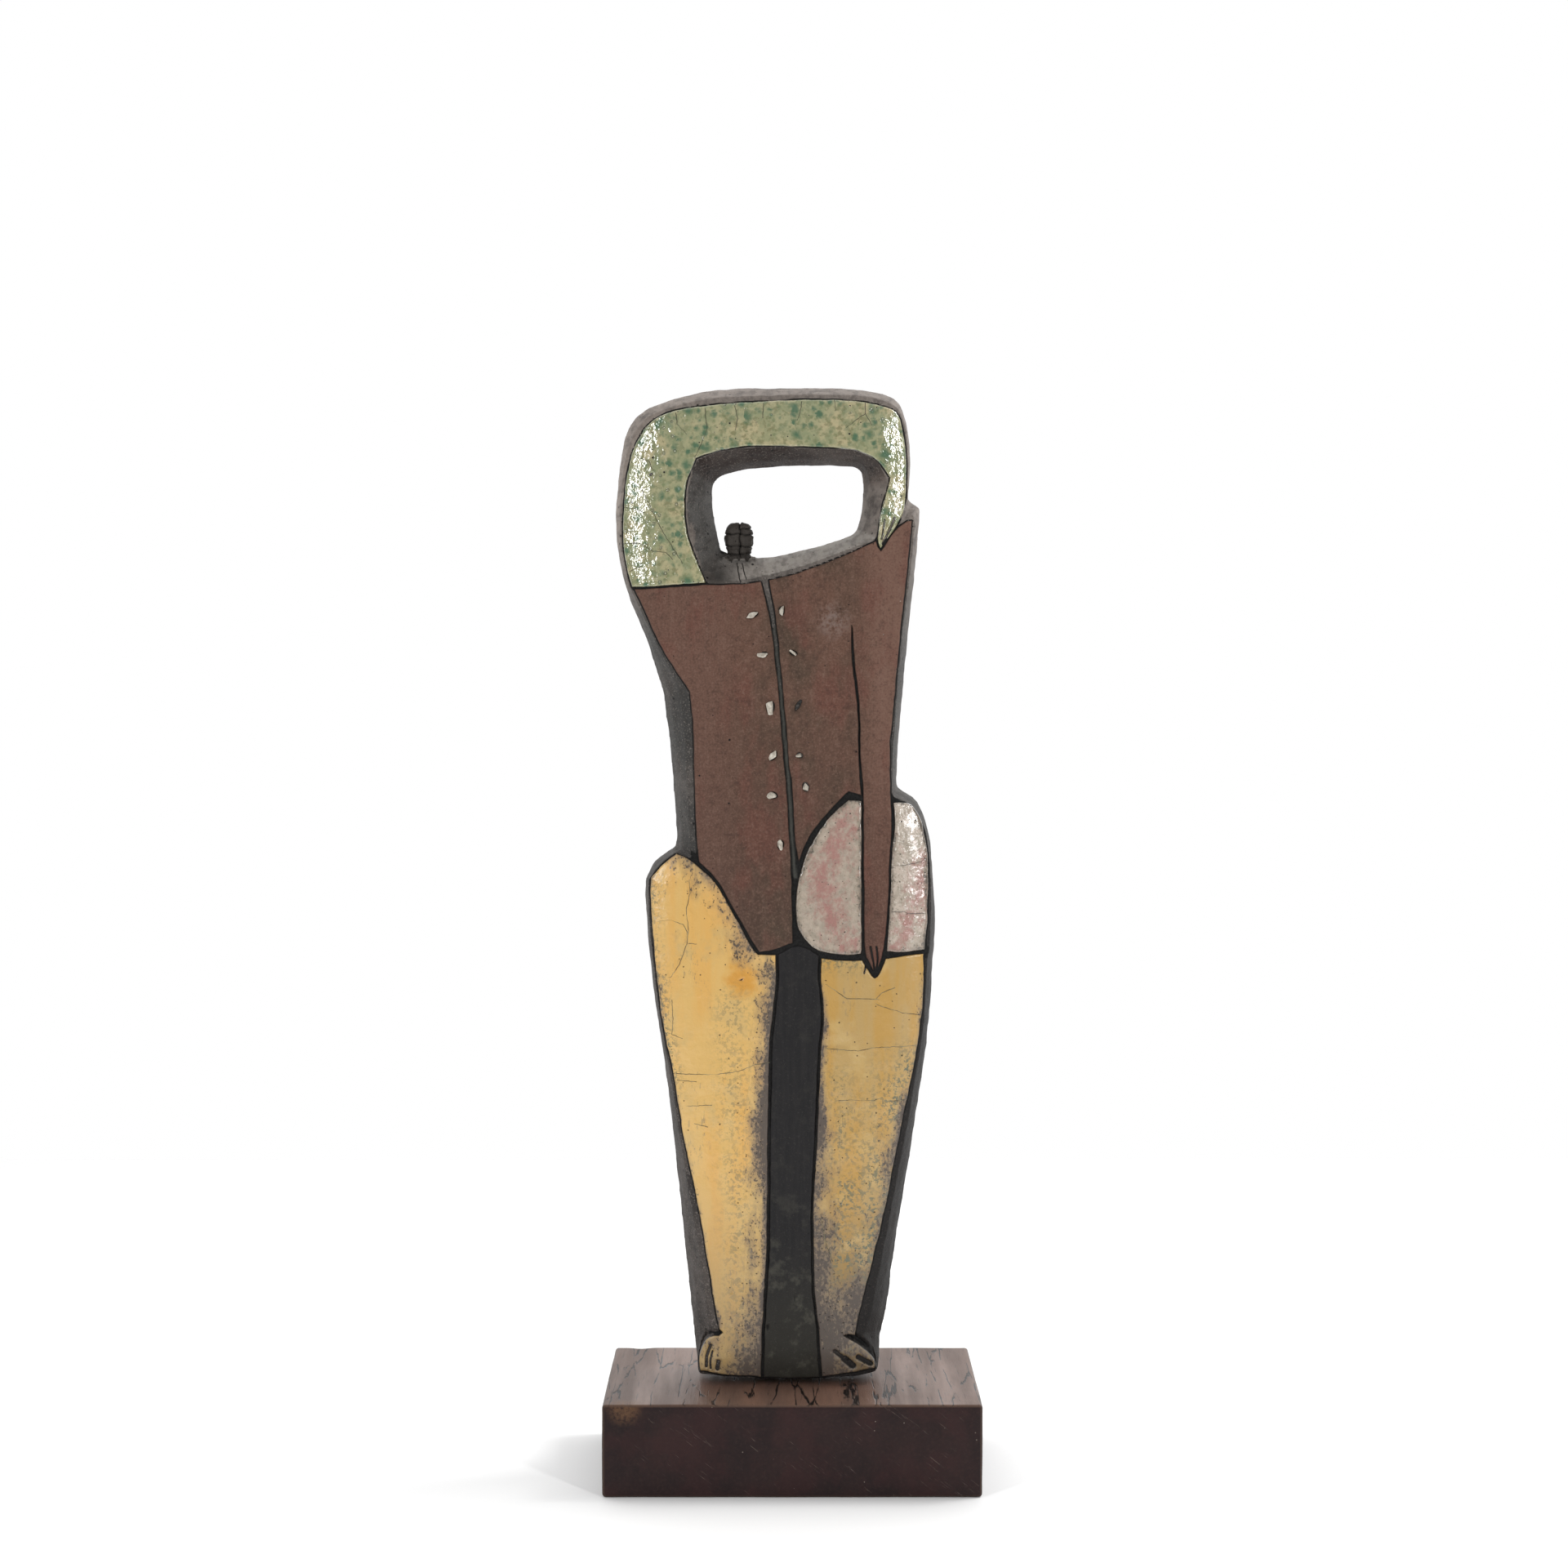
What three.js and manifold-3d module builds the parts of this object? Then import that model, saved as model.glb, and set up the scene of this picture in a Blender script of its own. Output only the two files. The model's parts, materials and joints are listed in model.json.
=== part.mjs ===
// A standing woman in smoke-fired clay on a dark wooden plinth.
// The figure is one thick slab: legs, torso, a raised arm that arches over a small head,
// and a second arm that hangs down the right side. Incised lines divide its face.
// Ten white chips are pressed into the jacket as buttons.
// Millimetres, +Z up, the face looks along -Y, the origin is under the middle of the plinth.
import * as THREE from 'three';
import { mergeVertices } from 'three/addons/utils/BufferGeometryUtils.js';
import Module from 'manifold-3d';

const wasm = await Module();
wasm.setup();

// Driving dimensions
const plinthWidth = 188;
const plinthDepth = 120;
const plinthHeight = 46.4;
const plinthEdge = 1.6;
const restGap = 0.3;
const soleHeight = plinthHeight + restGap;

const faceDepth = 22.5;
const faceRoll = 4.5;
const faceSpan = 78;
const faceTurns = 3;
const bandRoundness = 1.5;
const bandSteps = [0, 0.42, 0.76, 1.08];
const capDepth = faceDepth + 8;
const capShare = 1.3;

const lineDepth = 1;
const stripDepth = 1.7;
const thinLine = 1.1;
const fineCut = 1.4;
const broadLine = 1.8;
const boldLine = 2.4;

const headWidth = 13.4;
const headHeight = 19.2;
const headDepth = 14;
const headBevel = 1.8;
const headFoot = 4;
const headPlace = [-26.8, -3, 463];
const creaseHeights = [7.2, 12.8];
const creaseWidth = 0.8;
const creaseDepth = 0.9;
const collarSpread = 1.5;
const collarHeight = 3.4;

const chipGap = 0.3;
const chipDepth = 3.2;
const chipStand = 0.9;

const beyondFace = 10;
const beyondSide = 100;
const beyondTop = 600;
const lensFacets = 40;
const outlineDetail = 3;
const lineDetail = 3;
const stripDetail = 2;

// The slab's outline, clockwise from the left armpit.
// Each stretch is one smooth curve, and stretches meet in a corner.
// A station is [x, z, inset x, inset z]: a point on the widest outline, half way through
// the slab, and how far the rim of the face lies inside it, across and up.
const outline = {
  arch: [
    [-84.3, 450.2, 3.4, 0],
    [-88.8, 472, 4, 0],
    [-88.7, 494.8, 4.3, 0],
    [-85.7, 519.5, 5, -2],
    [-78.5, 536, 8, -3.2],
    [-61.3, 544.2, 7.5, -5.2],
    [-37.1, 549.3, 3.5, -7.2],
    [-4.1, 550.1, 0, -6.6],
    [30.6, 549.7, 1.5, -6.4],
    [51.5, 544.9, -3, -5.2],
    [57.4, 533.5, -2.4, -1.2],
    [59.8, 514.5, -2.4, 0],
    [58.6, 494.8, -1.3, -1],
  ],
  shoulder: [
    [59, 493.3, -6.4, -13.8],
    [64.3, 489.8, -4.6, -4.6],
  ],
  rightSide: [
    [64.3, 484, -3.7, -4],
    [62.5, 460.1, -4.1, -1.8],
    [59.1, 430.4, -4.6, 0],
    [55.5, 390.6, -4.4, 0],
    [53.2, 358, -3.8, 0],
    [53.3, 348.6, -3.5, -5.2],
  ],
  rightHip: [
    [56.8, 346.2, -1.8, -4.6],
    [63.7, 340.8, -2.6, -3.4],
    [69.2, 325.8, -2.3, 0],
    [71.2, 308, -2.4, 0],
    [72.7, 287.4, -3.6, 0],
    [72.5, 267, -4.6, 0],
  ],
  rightLeg: [
    [71.7, 262.4, -4.8, 0],
    [69.9, 230.6, -4.8, 0],
    [66.1, 200.4, -5.6, 0],
    [60.1, 160.1, -7.4, 0],
    [52.7, 114.6, -9.2, 0],
    [48.8, 84.2, -12.4, 0],
    [46, 72, -13.6, 0],
  ],
  rightFoot: [
    [45.1, 66, -9.2, 0.6],
    [44.7, 59, -4.4, 1.6],
    [44.3, 52.2, -2, 1.4],
  ],
  sole: [
    [43.4, 50.6, -2.2, 2.7],
    [33, 47.4, 0, 4.4],
    [15, soleHeight + 0.2, 0, 3.4],
    [-4, soleHeight, 0, 3.2],
    [-28, soleHeight + 0.3, 0, 3.8],
    [-47, 48.4, 0.8, 4.4],
  ],
  leftFoot: [
    [-48.1, 50, 1.2, 3.2],
    [-48.9, 57, 2.4, 2.2],
    [-49.6, 64, 7, 2.6],
  ],
  leftLeg: [
    [-50.3, 71, 13, 0],
    [-51.8, 84.2, 12.4, 0],
    [-54.9, 114.6, 10.8, 0],
    [-59.5, 160.1, 6.6, 0],
    [-64, 200.4, 4, 0],
    [-68.5, 230.6, 3, 0],
    [-72.3, 260.7, 2.8, 0],
    [-74.7, 293, 2.7, 0],
  ],
  leftHip: [
    [-74.2, 301.6, 2.3, 0.6],
    [-69.8, 310.6, 4.2, -0.8],
    [-62, 316.4, 4.2, -0.4],
  ],
  leftSide: [
    [-59, 318.2, 11, -7.4],
    [-58.7, 327, 10.2, -4],
    [-60.4, 350.7, 11, 0],
    [-62.6, 375.7, 12.2, 0],
    [-65.3, 395.6, 13.6, 0.6],
  ],
  leftShoulder: [
    [-66.2, 399.4, 13.2, 0],
    [-73.3, 421.6, 7, 0],
    [-81.3, 441.3, 5, 0],
  ],
};

// The opening inside the arch, from its upper left corner: its narrowest outline, and how
// far the rim of the face lies outside it.
const opening = {
  top: [
    [-37.5, 505, -10.6, 9],
    [-26, 508.8, -8.3, 9.3],
    [-10, 510.4, -3.7, 9.3],
    [8, 511.2, 1.6, 7.7],
    [26, 510.8, 2.1, 7.7],
    [31.5, 510.4, 5.6, 6.5],
  ],
  right: [
    [34.8, 508.4, 8.8, 3.2],
    [36, 502, 12.1, 2.4],
    [35.7, 494, 10.6, 1.2],
    [34.8, 486.5, 9.7, -1.3],
    [32.6, 479, 10, -5],
  ],
  sill: [
    [31, 476.6, 10.4, -4.2],
    [21, 472.6, 7.1, -4.9],
    [6.2, 468.8, 2.4, -8.4],
    [-8, 465.6, -3.1, -10.8],
    [-20, 464.6, -5.3, -12.8],
    [-33.6, 466.4, -9.7, -14.4],
    [-37, 472, -9.1, -12.8],
    [-38.6, 480, -12.8, -8],
    [-39.7, 487, -13.8, -4.7],
    [-40.5, 496, -13, -0.8],
    [-39.8, 502, -11.6, 6.3],
  ],
};

// Incised lines: the middle of each line, on the face, and how wide it is.
// They run into each other and out over the rim, so that they part the face into fields.
const armpitLine = { width: thinLine, path: [[-88, 449.8], [-60, 451], [-41, 451.8]] };
const shoulderLine = { width: thinLine, path: [[40.6, 470], [46, 474.6], [53.4, 480.6]] };
const frontLines = [
  armpitLine,
  shoulderLine,
  {
    width: thinLine,
    path: [[29.9, 430], [30.4, 412], [32.9, 390], [33.7, 356], [34.8, 300], [35.7, 266], [35, 255.6]],
  },
  {
    width: fineCut,
    path: [[49.3, 364], [49.8, 343], [51.4, 330], [50, 309], [48.6, 284], [46.3, 266], [40.6, 254.6]],
  },
  { width: boldLine, path: [[35.2, 342.8], [28.7, 345], [20, 335.4], [11.2, 325.4], [5, 312], [2.6, 298]] },
  { width: broadLine, path: [[2.6, 299], [2.8, 281], [6.4, 271.4], [14, 266], [24, 263.4], [36, 263]] },
  { width: broadLine, path: [[46, 265], [58, 265.4], [70, 266.2]] },
  { width: thinLine, path: [[-60, 318.2], [-47, 310.6], [-37.4, 301], [-28.6, 284.4], [-18.2, 266]] },
  { width: boldLine, path: [[-19, 266.4], [-14.4, 263.6], [-8, 264.6], [0, 268.6], [3, 273]] },
  { width: thinLine, path: [[35.9, 265.6], [37.6, 260.4], [40.8, 254.8]] },
  { width: thinLine, path: [[38.5, 269], [38.8, 261.6]] },
  { width: thinLine, path: [[41.6, 268], [41.4, 261]] },
  { width: broadLine, path: [[-36.2, 72.4], [-42.2, 71.2], [-46.6, 65.6], [-48.6, 58.6]] },
  { width: boldLine, path: [[25.8, 73], [33.6, 69], [39.4, 63.6], [42.8, 57]] },
  { width: boldLine, path: [[21.4, 62.4], [28, 56.4]] },
  { width: fineCut, path: [[32.4, 60.6], [35, 56]] },
  { width: fineCut, path: [[36.6, 59.4], [38.6, 55.4]] },
  { width: broadLine, path: [[-42.6, 65.4], [-45.6, 57]] },
  { width: fineCut, path: [[-40.2, 59.4], [-39.2, 54]] },
  { width: thinLine, path: [[47, 482.6], [45.4, 475.6]] },
  { width: thinLine, path: [[50.8, 484], [46.6, 473.4]] },
];
const backLines = [
  armpitLine,
  shoulderLine,
  {
    width: boldLine,
    path: [[-60, 318.2], [-47, 310], [-34, 290], [-14, 266], [4, 262], [36, 264], [70, 266]],
  },
];

// Sunk strips: the left edge and the right edge, from the top down.
const closingStrip = {
  left: [[-16.2, 455.4], [-10.9, 432], [-6.4, 393], [-4.8, 358], [-2.8, 330], [-1.6, 306], [0.2, 270]],
  right: [[-12.2, 456.4], [-7.9, 432], [-4.2, 393], [-1.9, 358], [0.4, 330], [2, 304], [2.6, 270]],
};
const legStrip = {
  left: [[-8, 266.4], [-9.6, 239], [-12.1, 205], [-12.8, 163], [-13.2, 117], [-15.7, 72], [-16.4, 40]],
  right: [[14.4, 266], [15.8, 232], [14.4, 198], [11.4, 145], [11, 99], [13.6, 75], [15, 40]],
};

// Button chips: [x, z, width, height, lean in degrees], from the top down.
const leftChips = [
  [-20, 435.4, 5.4, 2.4, 20],
  [-14.9, 415.6, 4.6, 2.6, 18],
  [-11.2, 389.2, 4, 6.4, -14],
  [-10, 364.8, 2.8, 5.4, -32],
  [-10, 345.2, 4.6, 3.4, -12],
  [-6.2, 320.4, 3.2, 4.6, -12],
];
const rightChips = [
  [-5.8, 437.5, 2.6, 4.4, 0],
  [0.2, 416.4, 4.2, 2.4, -20],
  [3, 390.4, 2.4, 5.4, -30],
  [3.4, 365.2, 3.2, 2.4, -30],
  [6.3, 349.4, 3.2, 4.8, 8],
];
const emptyPit = 3;

// Small helpers that turn a closed geometry into a solid and back
function solidOf(geometry) {
  const bare = geometry.clone();
  for (const name of Object.keys(bare.attributes)) {
    if (name !== 'position') bare.deleteAttribute(name);
  }
  const merged = mergeVertices(bare, 1e-4);
  const vertProperties = new Float32Array(merged.attributes.position.array);
  const triVerts = new Uint32Array(merged.index.array);
  return new wasm.Manifold(new wasm.Mesh({ numProp: 3, vertProperties, triVerts }));
}

function geometryOf(solid) {
  const mesh = solid.getMesh();
  const geometry = new THREE.BufferGeometry();
  geometry.setAttribute('position', new THREE.BufferAttribute(mesh.vertProperties, 3));
  geometry.setIndex(new THREE.BufferAttribute(mesh.triVerts, 1));
  return geometry;
}

function joined(solids) {
  return solids.reduce((sum, solid) => sum.add(solid));
}

// A shape drawn on the face, [x, z], made a block that runs from one depth to another
function facePrism(points, near, far) {
  const shape = new THREE.Shape(points.map(([x, z]) => new THREE.Vector2(x, z)));
  const block = new THREE.ExtrudeGeometry(shape, { depth: far - near, bevelEnabled: false });
  block.rotateX(Math.PI / 2);
  block.translate(0, far, 0);
  return solidOf(block);
}

// How deep the gently bowed face lies at a distance from the middle of the slab
function faceAt(x) {
  return faceDepth - faceRoll * Math.abs(x / faceSpan) ** faceTurns;
}

// A lens-shaped block, bowed on both faces and run up the whole height of the figure.
// A smaller depth gives the floor of the lines and strips.
function lens(sink) {
  const facet = (2 * beyondSide) / lensFacets;
  const across = Array.from({ length: lensFacets + 1 }, (_, i) => i * facet - beyondSide);
  const front = across.map((x) => new THREE.Vector2(x, sink - faceAt(x)));
  const back = across.map((x) => new THREE.Vector2(-x, faceAt(x) - sink));
  return solidOf(new THREE.ExtrudeGeometry(new THREE.Shape([...front, ...back]), {
    depth: beyondTop,
    bevelEnabled: false,
  }));
}

// Smooth curve through the stations of one stretch, as edge points with their insets
function stretchPoints(stations) {
  const edge = new THREE.SplineCurve(stations.map(([x, z]) => new THREE.Vector2(x, z)));
  const inset = new THREE.SplineCurve(stations.map(([, , x, z]) => new THREE.Vector2(x, z)));
  const count = (stations.length - 1) * outlineDetail;
  return Array.from({ length: count + 1 }, (_, i) => ({
    edge: edge.getPoint(i / count),
    inset: inset.getPoint(i / count),
  }));
}

// A block with the outline at its middle depth, whose sides curve in towards both faces
function bandedSlab(stretches) {
  const ring = Object.values(stretches).flatMap(stretchPoints);
  const steps = [...bandSteps.slice(1).reverse().map((step) => -step), ...bandSteps];
  const sides = steps.map((step) => ring.map(({ edge, inset }) => {
    const share = Math.abs(step) ** bandRoundness;
    return [edge.x + inset.x * share, step * faceAt(edge.x + inset.x), edge.y + inset.y * share];
  }));
  const capAt = (depth) => ring.map(({ edge, inset }) => (
    [edge.x + inset.x * capShare, depth, edge.y + inset.y * capShare]
  ));
  const layers = [capAt(-capDepth), ...sides, capAt(capDepth)];
  const count = ring.length;
  const index = [];
  for (let layer = 0; layer + 1 < layers.length; layer += 1) {
    for (let i = 0; i < count; i += 1) {
      const a = layer * count + i;
      const b = layer * count + ((i + 1) % count);
      index.push(a, b, b + count, a, b + count, a + count);
    }
  }
  const cap = (layer) => layers[layer].map(([x, , z]) => new THREE.Vector2(x, z));
  const last = layers.length - 1;
  for (const [a, b, c] of THREE.ShapeUtils.triangulateShape(cap(0), [])) index.push(a, b, c);
  for (const [a, b, c] of THREE.ShapeUtils.triangulateShape(cap(last), [])) {
    index.push(last * count + a, last * count + c, last * count + b);
  }
  const geometry = new THREE.BufferGeometry();
  geometry.setAttribute('position', new THREE.Float32BufferAttribute(layers.flat(2), 3));
  geometry.setIndex(index);
  return solidOf(geometry);
}

// A line of even width around a smooth path
function lineOutline({ path, width }) {
  const curve = new THREE.SplineCurve(path.map(([x, z]) => new THREE.Vector2(x, z)));
  const count = (path.length - 1) * lineDetail;
  const side = (sign) => Array.from({ length: count + 1 }, (_, i) => {
    const point = curve.getPoint(i / count);
    const along = curve.getTangent(i / count);
    return [point.x - (sign * along.y * width) / 2, point.y + (sign * along.x * width) / 2];
  });
  return [...side(-1), ...side(1).reverse()];
}

function stripOutline({ left, right }) {
  const smooth = (points) => new THREE.SplineCurve(points.map(([x, z]) => new THREE.Vector2(x, z)))
    .getPoints((points.length - 1) * stripDetail).map((point) => [point.x, point.y]);
  return [...smooth(left), ...smooth(right).reverse()];
}

// Lines and strips of one side of the slab, cut no deeper than a smaller lens
function carving(lines, strips, near, far) {
  const cut = joined(lines.map((line) => facePrism(lineOutline(line), near, far)));
  const sunk = joined(strips.map((strip) => facePrism(stripOutline(strip), near, far)));
  return cut.subtract(lens(lineDepth)).add(sunk.subtract(lens(stripDepth)));
}

// The small blank head: a block on a ragged collar, creased across and grooved down its front
function headSolid() {
  const half = headWidth / 2;
  const collar = half + collarSpread;
  const outlineOfHead = new THREE.Shape();
  outlineOfHead.moveTo(-collar, -headFoot);
  outlineOfHead.lineTo(collar, -headFoot);
  outlineOfHead.lineTo(collar, collarHeight / 2);
  outlineOfHead.lineTo(half - 0.6, collarHeight);
  outlineOfHead.lineTo(half + 0.4, creaseHeights[0]);
  outlineOfHead.lineTo(half + 0.2, headHeight - half);
  outlineOfHead.quadraticCurveTo(half, headHeight, 0, headHeight);
  outlineOfHead.quadraticCurveTo(-half, headHeight, -half, headHeight - half);
  outlineOfHead.lineTo(-half + 0.6, collarHeight + 2);
  outlineOfHead.lineTo(-collar, collarHeight / 2);
  const block = new THREE.ExtrudeGeometry(outlineOfHead, {
    depth: headDepth - 2 * headBevel,
    bevelThickness: headBevel,
    bevelSize: headBevel / 2,
    bevelOffset: -headBevel / 2,
    bevelSegments: 2,
    curveSegments: 6,
  });
  block.rotateX(Math.PI / 2);
  block.translate(0, headDepth / 2 - headBevel, 0);
  const front = -headDepth / 2;
  const groove = (left, right, low, high) => facePrism(
    [[left, low], [right, low], [right, high], [left, high]],
    front - beyondFace,
    front + creaseDepth,
  );
  const parting = groove(-creaseWidth / 2, creaseWidth / 2, collarHeight, headHeight + creaseWidth);
  const creases = creaseHeights.map((z) => groove(-collar, collar, z, z + creaseWidth));
  return solidOf(block).subtract(joined([parting, ...creases])).translate(headPlace);
}

// A flint-shaped chip: a small stone with twenty facets, let into the face.
// The pit it sits in is the same shape, grown by the gap around the chip.
function chipSolid([x, z, width, height, lean], grow) {
  const stone = new THREE.IcosahedronGeometry(1, 0);
  stone.computeBoundingBox();
  const reach = stone.boundingBox.max.x;
  const scaled = (size) => (size / 2 + grow) / reach;
  stone.scale(scaled(width), scaled(chipDepth), scaled(height));
  stone.rotateY(THREE.MathUtils.degToRad(-lean));
  stone.translate(x, chipDepth / 2 - chipStand - faceAt(x), z);
  return solidOf(stone);
}

function figureSolid() {
  const slab = bandedSlab(outline);
  const hole = bandedSlab(opening);
  const body = slab.subtract(hole).intersect(lens(0));
  const pits = joined([...leftChips, ...rightChips].map((chip) => chipSolid(chip, chipGap)));
  const beyond = faceDepth + beyondFace;
  return body
    .add(headSolid())
    .subtract(carving(frontLines, [closingStrip, legStrip], -beyond, 0))
    .subtract(carving(backLines, [legStrip], 0, beyond))
    .subtract(pits);
}

// The plinth: a block with every edge eased by a small bevel
function plinthGeometry() {
  const half = plinthWidth / 2 - 2 * plinthEdge;
  const deep = plinthDepth / 2 - 2 * plinthEdge;
  const quarter = Math.PI / 2;
  const rectangle = new THREE.Shape();
  [[half, deep], [-half, deep], [-half, -deep], [half, -deep]].forEach(([x, y], i) => {
    rectangle.absarc(x, y, plinthEdge, i * quarter, (i + 1) * quarter);
  });
  const block = new THREE.ExtrudeGeometry(rectangle, {
    depth: plinthHeight - 2 * plinthEdge,
    bevelThickness: plinthEdge,
    bevelSize: plinthEdge,
    bevelSegments: 3,
    curveSegments: 4,
  });
  block.translate(0, 0, plinthEdge);
  return block;
}

const firedClay = new THREE.MeshStandardMaterial({ color: 0x55504c, roughness: 0.8, metalness: 0 });
const whiteStone = new THREE.MeshStandardMaterial({ color: 0xcfc8bb, roughness: 0.55, metalness: 0 });
const darkWood = new THREE.MeshStandardMaterial({ color: 0x332727, roughness: 0.5, metalness: 0 });

function piece(name, geometry, material) {
  const mesh = new THREE.Mesh(geometry, material);
  mesh.name = name;
  return mesh;
}

const sculpture = new THREE.Group();
sculpture.add(piece('plinth', plinthGeometry(), darkWood));
sculpture.add(piece('figure', geometryOf(figureSolid()), firedClay));
leftChips.forEach((chip, i) => {
  sculpture.add(piece(`button_chip_left_${i + 1}`, geometryOf(chipSolid(chip, 0)), whiteStone));
});
rightChips.forEach((chip, i) => {
  if (i + 1 === emptyPit) return;
  sculpture.add(piece(`button_chip_right_${i + 1}`, geometryOf(chipSolid(chip, 0)), whiteStone));
});

export default sculpture;
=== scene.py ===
# %% [markdown]
# A standing woman in smoke-fired clay on a dark wooden plinth.
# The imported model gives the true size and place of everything: a thick slab with an opening
# under its arched arm, ten stone chips let into it, and the plinth.
# This script keeps those places and gives each surface the finish of the real one.
# Where a hand wandered, a noise with one set seed stands for it, so every run gives the same.

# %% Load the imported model
import json
import math

import bpy
import numpy as np
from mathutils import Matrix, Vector, noise

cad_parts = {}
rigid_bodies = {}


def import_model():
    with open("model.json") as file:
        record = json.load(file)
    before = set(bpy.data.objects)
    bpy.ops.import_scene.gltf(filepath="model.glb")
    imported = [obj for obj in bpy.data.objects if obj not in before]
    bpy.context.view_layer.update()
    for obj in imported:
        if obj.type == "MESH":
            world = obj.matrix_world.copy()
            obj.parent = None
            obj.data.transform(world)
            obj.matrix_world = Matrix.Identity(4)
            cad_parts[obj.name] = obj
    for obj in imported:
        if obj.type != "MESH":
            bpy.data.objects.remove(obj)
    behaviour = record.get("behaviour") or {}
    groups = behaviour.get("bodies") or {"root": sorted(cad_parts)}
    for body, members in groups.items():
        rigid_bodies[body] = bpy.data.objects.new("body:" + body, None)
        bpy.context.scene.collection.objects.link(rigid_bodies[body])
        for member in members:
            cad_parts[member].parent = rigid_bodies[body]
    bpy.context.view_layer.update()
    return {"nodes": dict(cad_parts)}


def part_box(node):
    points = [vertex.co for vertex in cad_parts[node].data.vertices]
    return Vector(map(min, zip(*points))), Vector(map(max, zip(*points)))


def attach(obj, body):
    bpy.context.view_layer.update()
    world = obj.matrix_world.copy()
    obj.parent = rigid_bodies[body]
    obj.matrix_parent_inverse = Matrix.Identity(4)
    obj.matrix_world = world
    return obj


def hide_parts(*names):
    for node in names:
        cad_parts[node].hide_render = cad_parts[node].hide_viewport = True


HAND_SEED = 3

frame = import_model()
noise.seed_set(HAND_SEED)

# %% [markdown]
# The camera comes first, because every look at the work depends on it.
# The photograph was taken from about one and a half metres, a little above the waist, looking
# slightly down. Its place follows from the four corners of the plinth, which is a plain block.

# %% Camera
MM = 0.001
PHOTO_SIDE = 1920
FOCAL_PIXELS = 3560
HORIZON_PIXELS = 160
SENSOR = 36
CAMERA_PLACE = (-4.1, -1477.0, 416.3)

bpy.ops.object.select_all(action="DESELECT")
bpy.ops.object.camera_add(
    location=[MM * v for v in CAMERA_PLACE],
    rotation=(math.radians(90) - math.atan(HORIZON_PIXELS / FOCAL_PIXELS), 0, 0),
)
camera = bpy.context.object
camera.name = "camera"
camera.data.sensor_width = SENSOR
camera.data.lens = SENSOR * FOCAL_PIXELS / PHOTO_SIDE
bpy.context.scene.camera = camera
print("lens in mm", round(camera.data.lens, 2))

# %% [markdown]
# A material is a small net of nodes. One helper turns the hex colour of a paint card into the
# linear numbers that light is mixed in, and one adds any node, sets its fields and links its
# sockets. A third starts a material with its shader.

# %% Colours and nodes
def linear(code):
    """An sRGB hex colour as linear red, green, blue and full alpha."""
    parts = [int(code[i:i + 2], 16) / 255 for i in (1, 3, 5)]
    return [p / 12.92 if p <= 0.04045 else ((p + 0.055) / 1.055) ** 2.4 for p in parts] + [1]


def add(tree, kind, inputs=None, **settings):
    """One node: settings are its own fields, inputs are socket values or links."""
    node = tree.nodes.new("ShaderNode" + kind)
    for name, value in settings.items():
        setattr(node, name, value)
    for name, value in (inputs or {}).items():
        if isinstance(value, bpy.types.NodeSocket):
            tree.links.new(value, node.inputs[name])
        else:
            node.inputs[name].default_value = value
    return node


def new_material(name, **shader):
    """A material with an empty net but for its shader, whose even values are set on it."""
    material = bpy.data.materials.new(name)
    material.use_nodes = True
    tree = material.node_tree
    surface = tree.nodes["Principled BSDF"]
    for socket, value in shader.items():
        surface.inputs[socket.replace("_", " ")].default_value = value
    return material, tree, surface


print("linear value of mid grey", round(linear("#808080")[0], 3))

# %% [markdown]
# The nets below repeat a few steps, and each step has a helper that calls the one above: blend
# two colours, run a value between two limits, draw clouds or cells, or raise relief. Sizes are
# given in millimetres, as they would be measured on the real surface.

# %% Steps that the nets repeat
def mixed(tree, share, first, second):
    """A colour between two others: a share of 0 gives the first, and 1 the second."""
    colours = {6: first, 7: second}
    for key, value in colours.items():
        if isinstance(value, str):
            colours[key] = linear(value)
    node = add(tree, "Mix", {0: share, **colours}, data_type="RGBA")
    return node.outputs[2]


def ramped(tree, value, low, high, start=0.0, end=1.0):
    """A value run smoothly from start to end while the input goes from low to high."""
    sockets = {"Value": value, "From Min": low, "From Max": high, "To Min": start, "To Max": end}
    return add(tree, "MapRange", sockets, interpolation_type="SMOOTHSTEP").outputs[0]


def combined(tree, how, first, second=0.5):
    """Two values, or a value and a number, worked into one, such as their sum."""
    return add(tree, "Math", {0: first, 1: second}, operation=how).outputs[0]


def cloudy(tree, place, size, detail=4.0, roughness=0.55):
    """Soft patches about `size` millimetres across, as a value around one half."""
    sockets = {
        "Vector": place, "Scale": 1 / (size * MM), "Detail": detail, "Roughness": roughness,
    }
    return add(tree, "TexNoise", sockets).outputs["Fac"]


def place_on_piece(tree, stretch=(1, 1, 1), turn=(0, 0, 0)):
    """Object coordinates in metres, squeezed along an axis to draw a pattern out along it."""
    source = add(tree, "TexCoord").outputs["Object"]
    if stretch == (1, 1, 1) and turn == (0, 0, 0):
        return source
    sockets = {"Vector": source, "Scale": stretch, "Rotation": turn}
    return add(tree, "Mapping", sockets).outputs[0]


def cells(tree, place, spacing, feature="F1"):
    """Cells about `spacing` millimetres apart: the distance to their middle or edge."""
    sockets = {"Vector": place, "Scale": 1 / (spacing * MM)}
    return add(tree, "TexVoronoi", sockets, feature=feature)


def own_value(tree, name):
    """A number that the mesh carries at each of its points."""
    return add(tree, "Attribute", attribute_name=name).outputs["Fac"]


def bumped(tree, surface, height, depth, strength=1.0, under=None):
    """Relief finer than the mesh: a height of 0 to 1 that stands for `depth` millimetres."""
    sockets = {"Height": height, "Distance": abs(depth) * MM, "Strength": strength}
    if under is not None:
        sockets["Normal"] = under
    normal = add(tree, "Bump", sockets, invert=depth < 0).outputs[0]
    tree.links.new(normal, surface.inputs["Normal"])
    return normal


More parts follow.
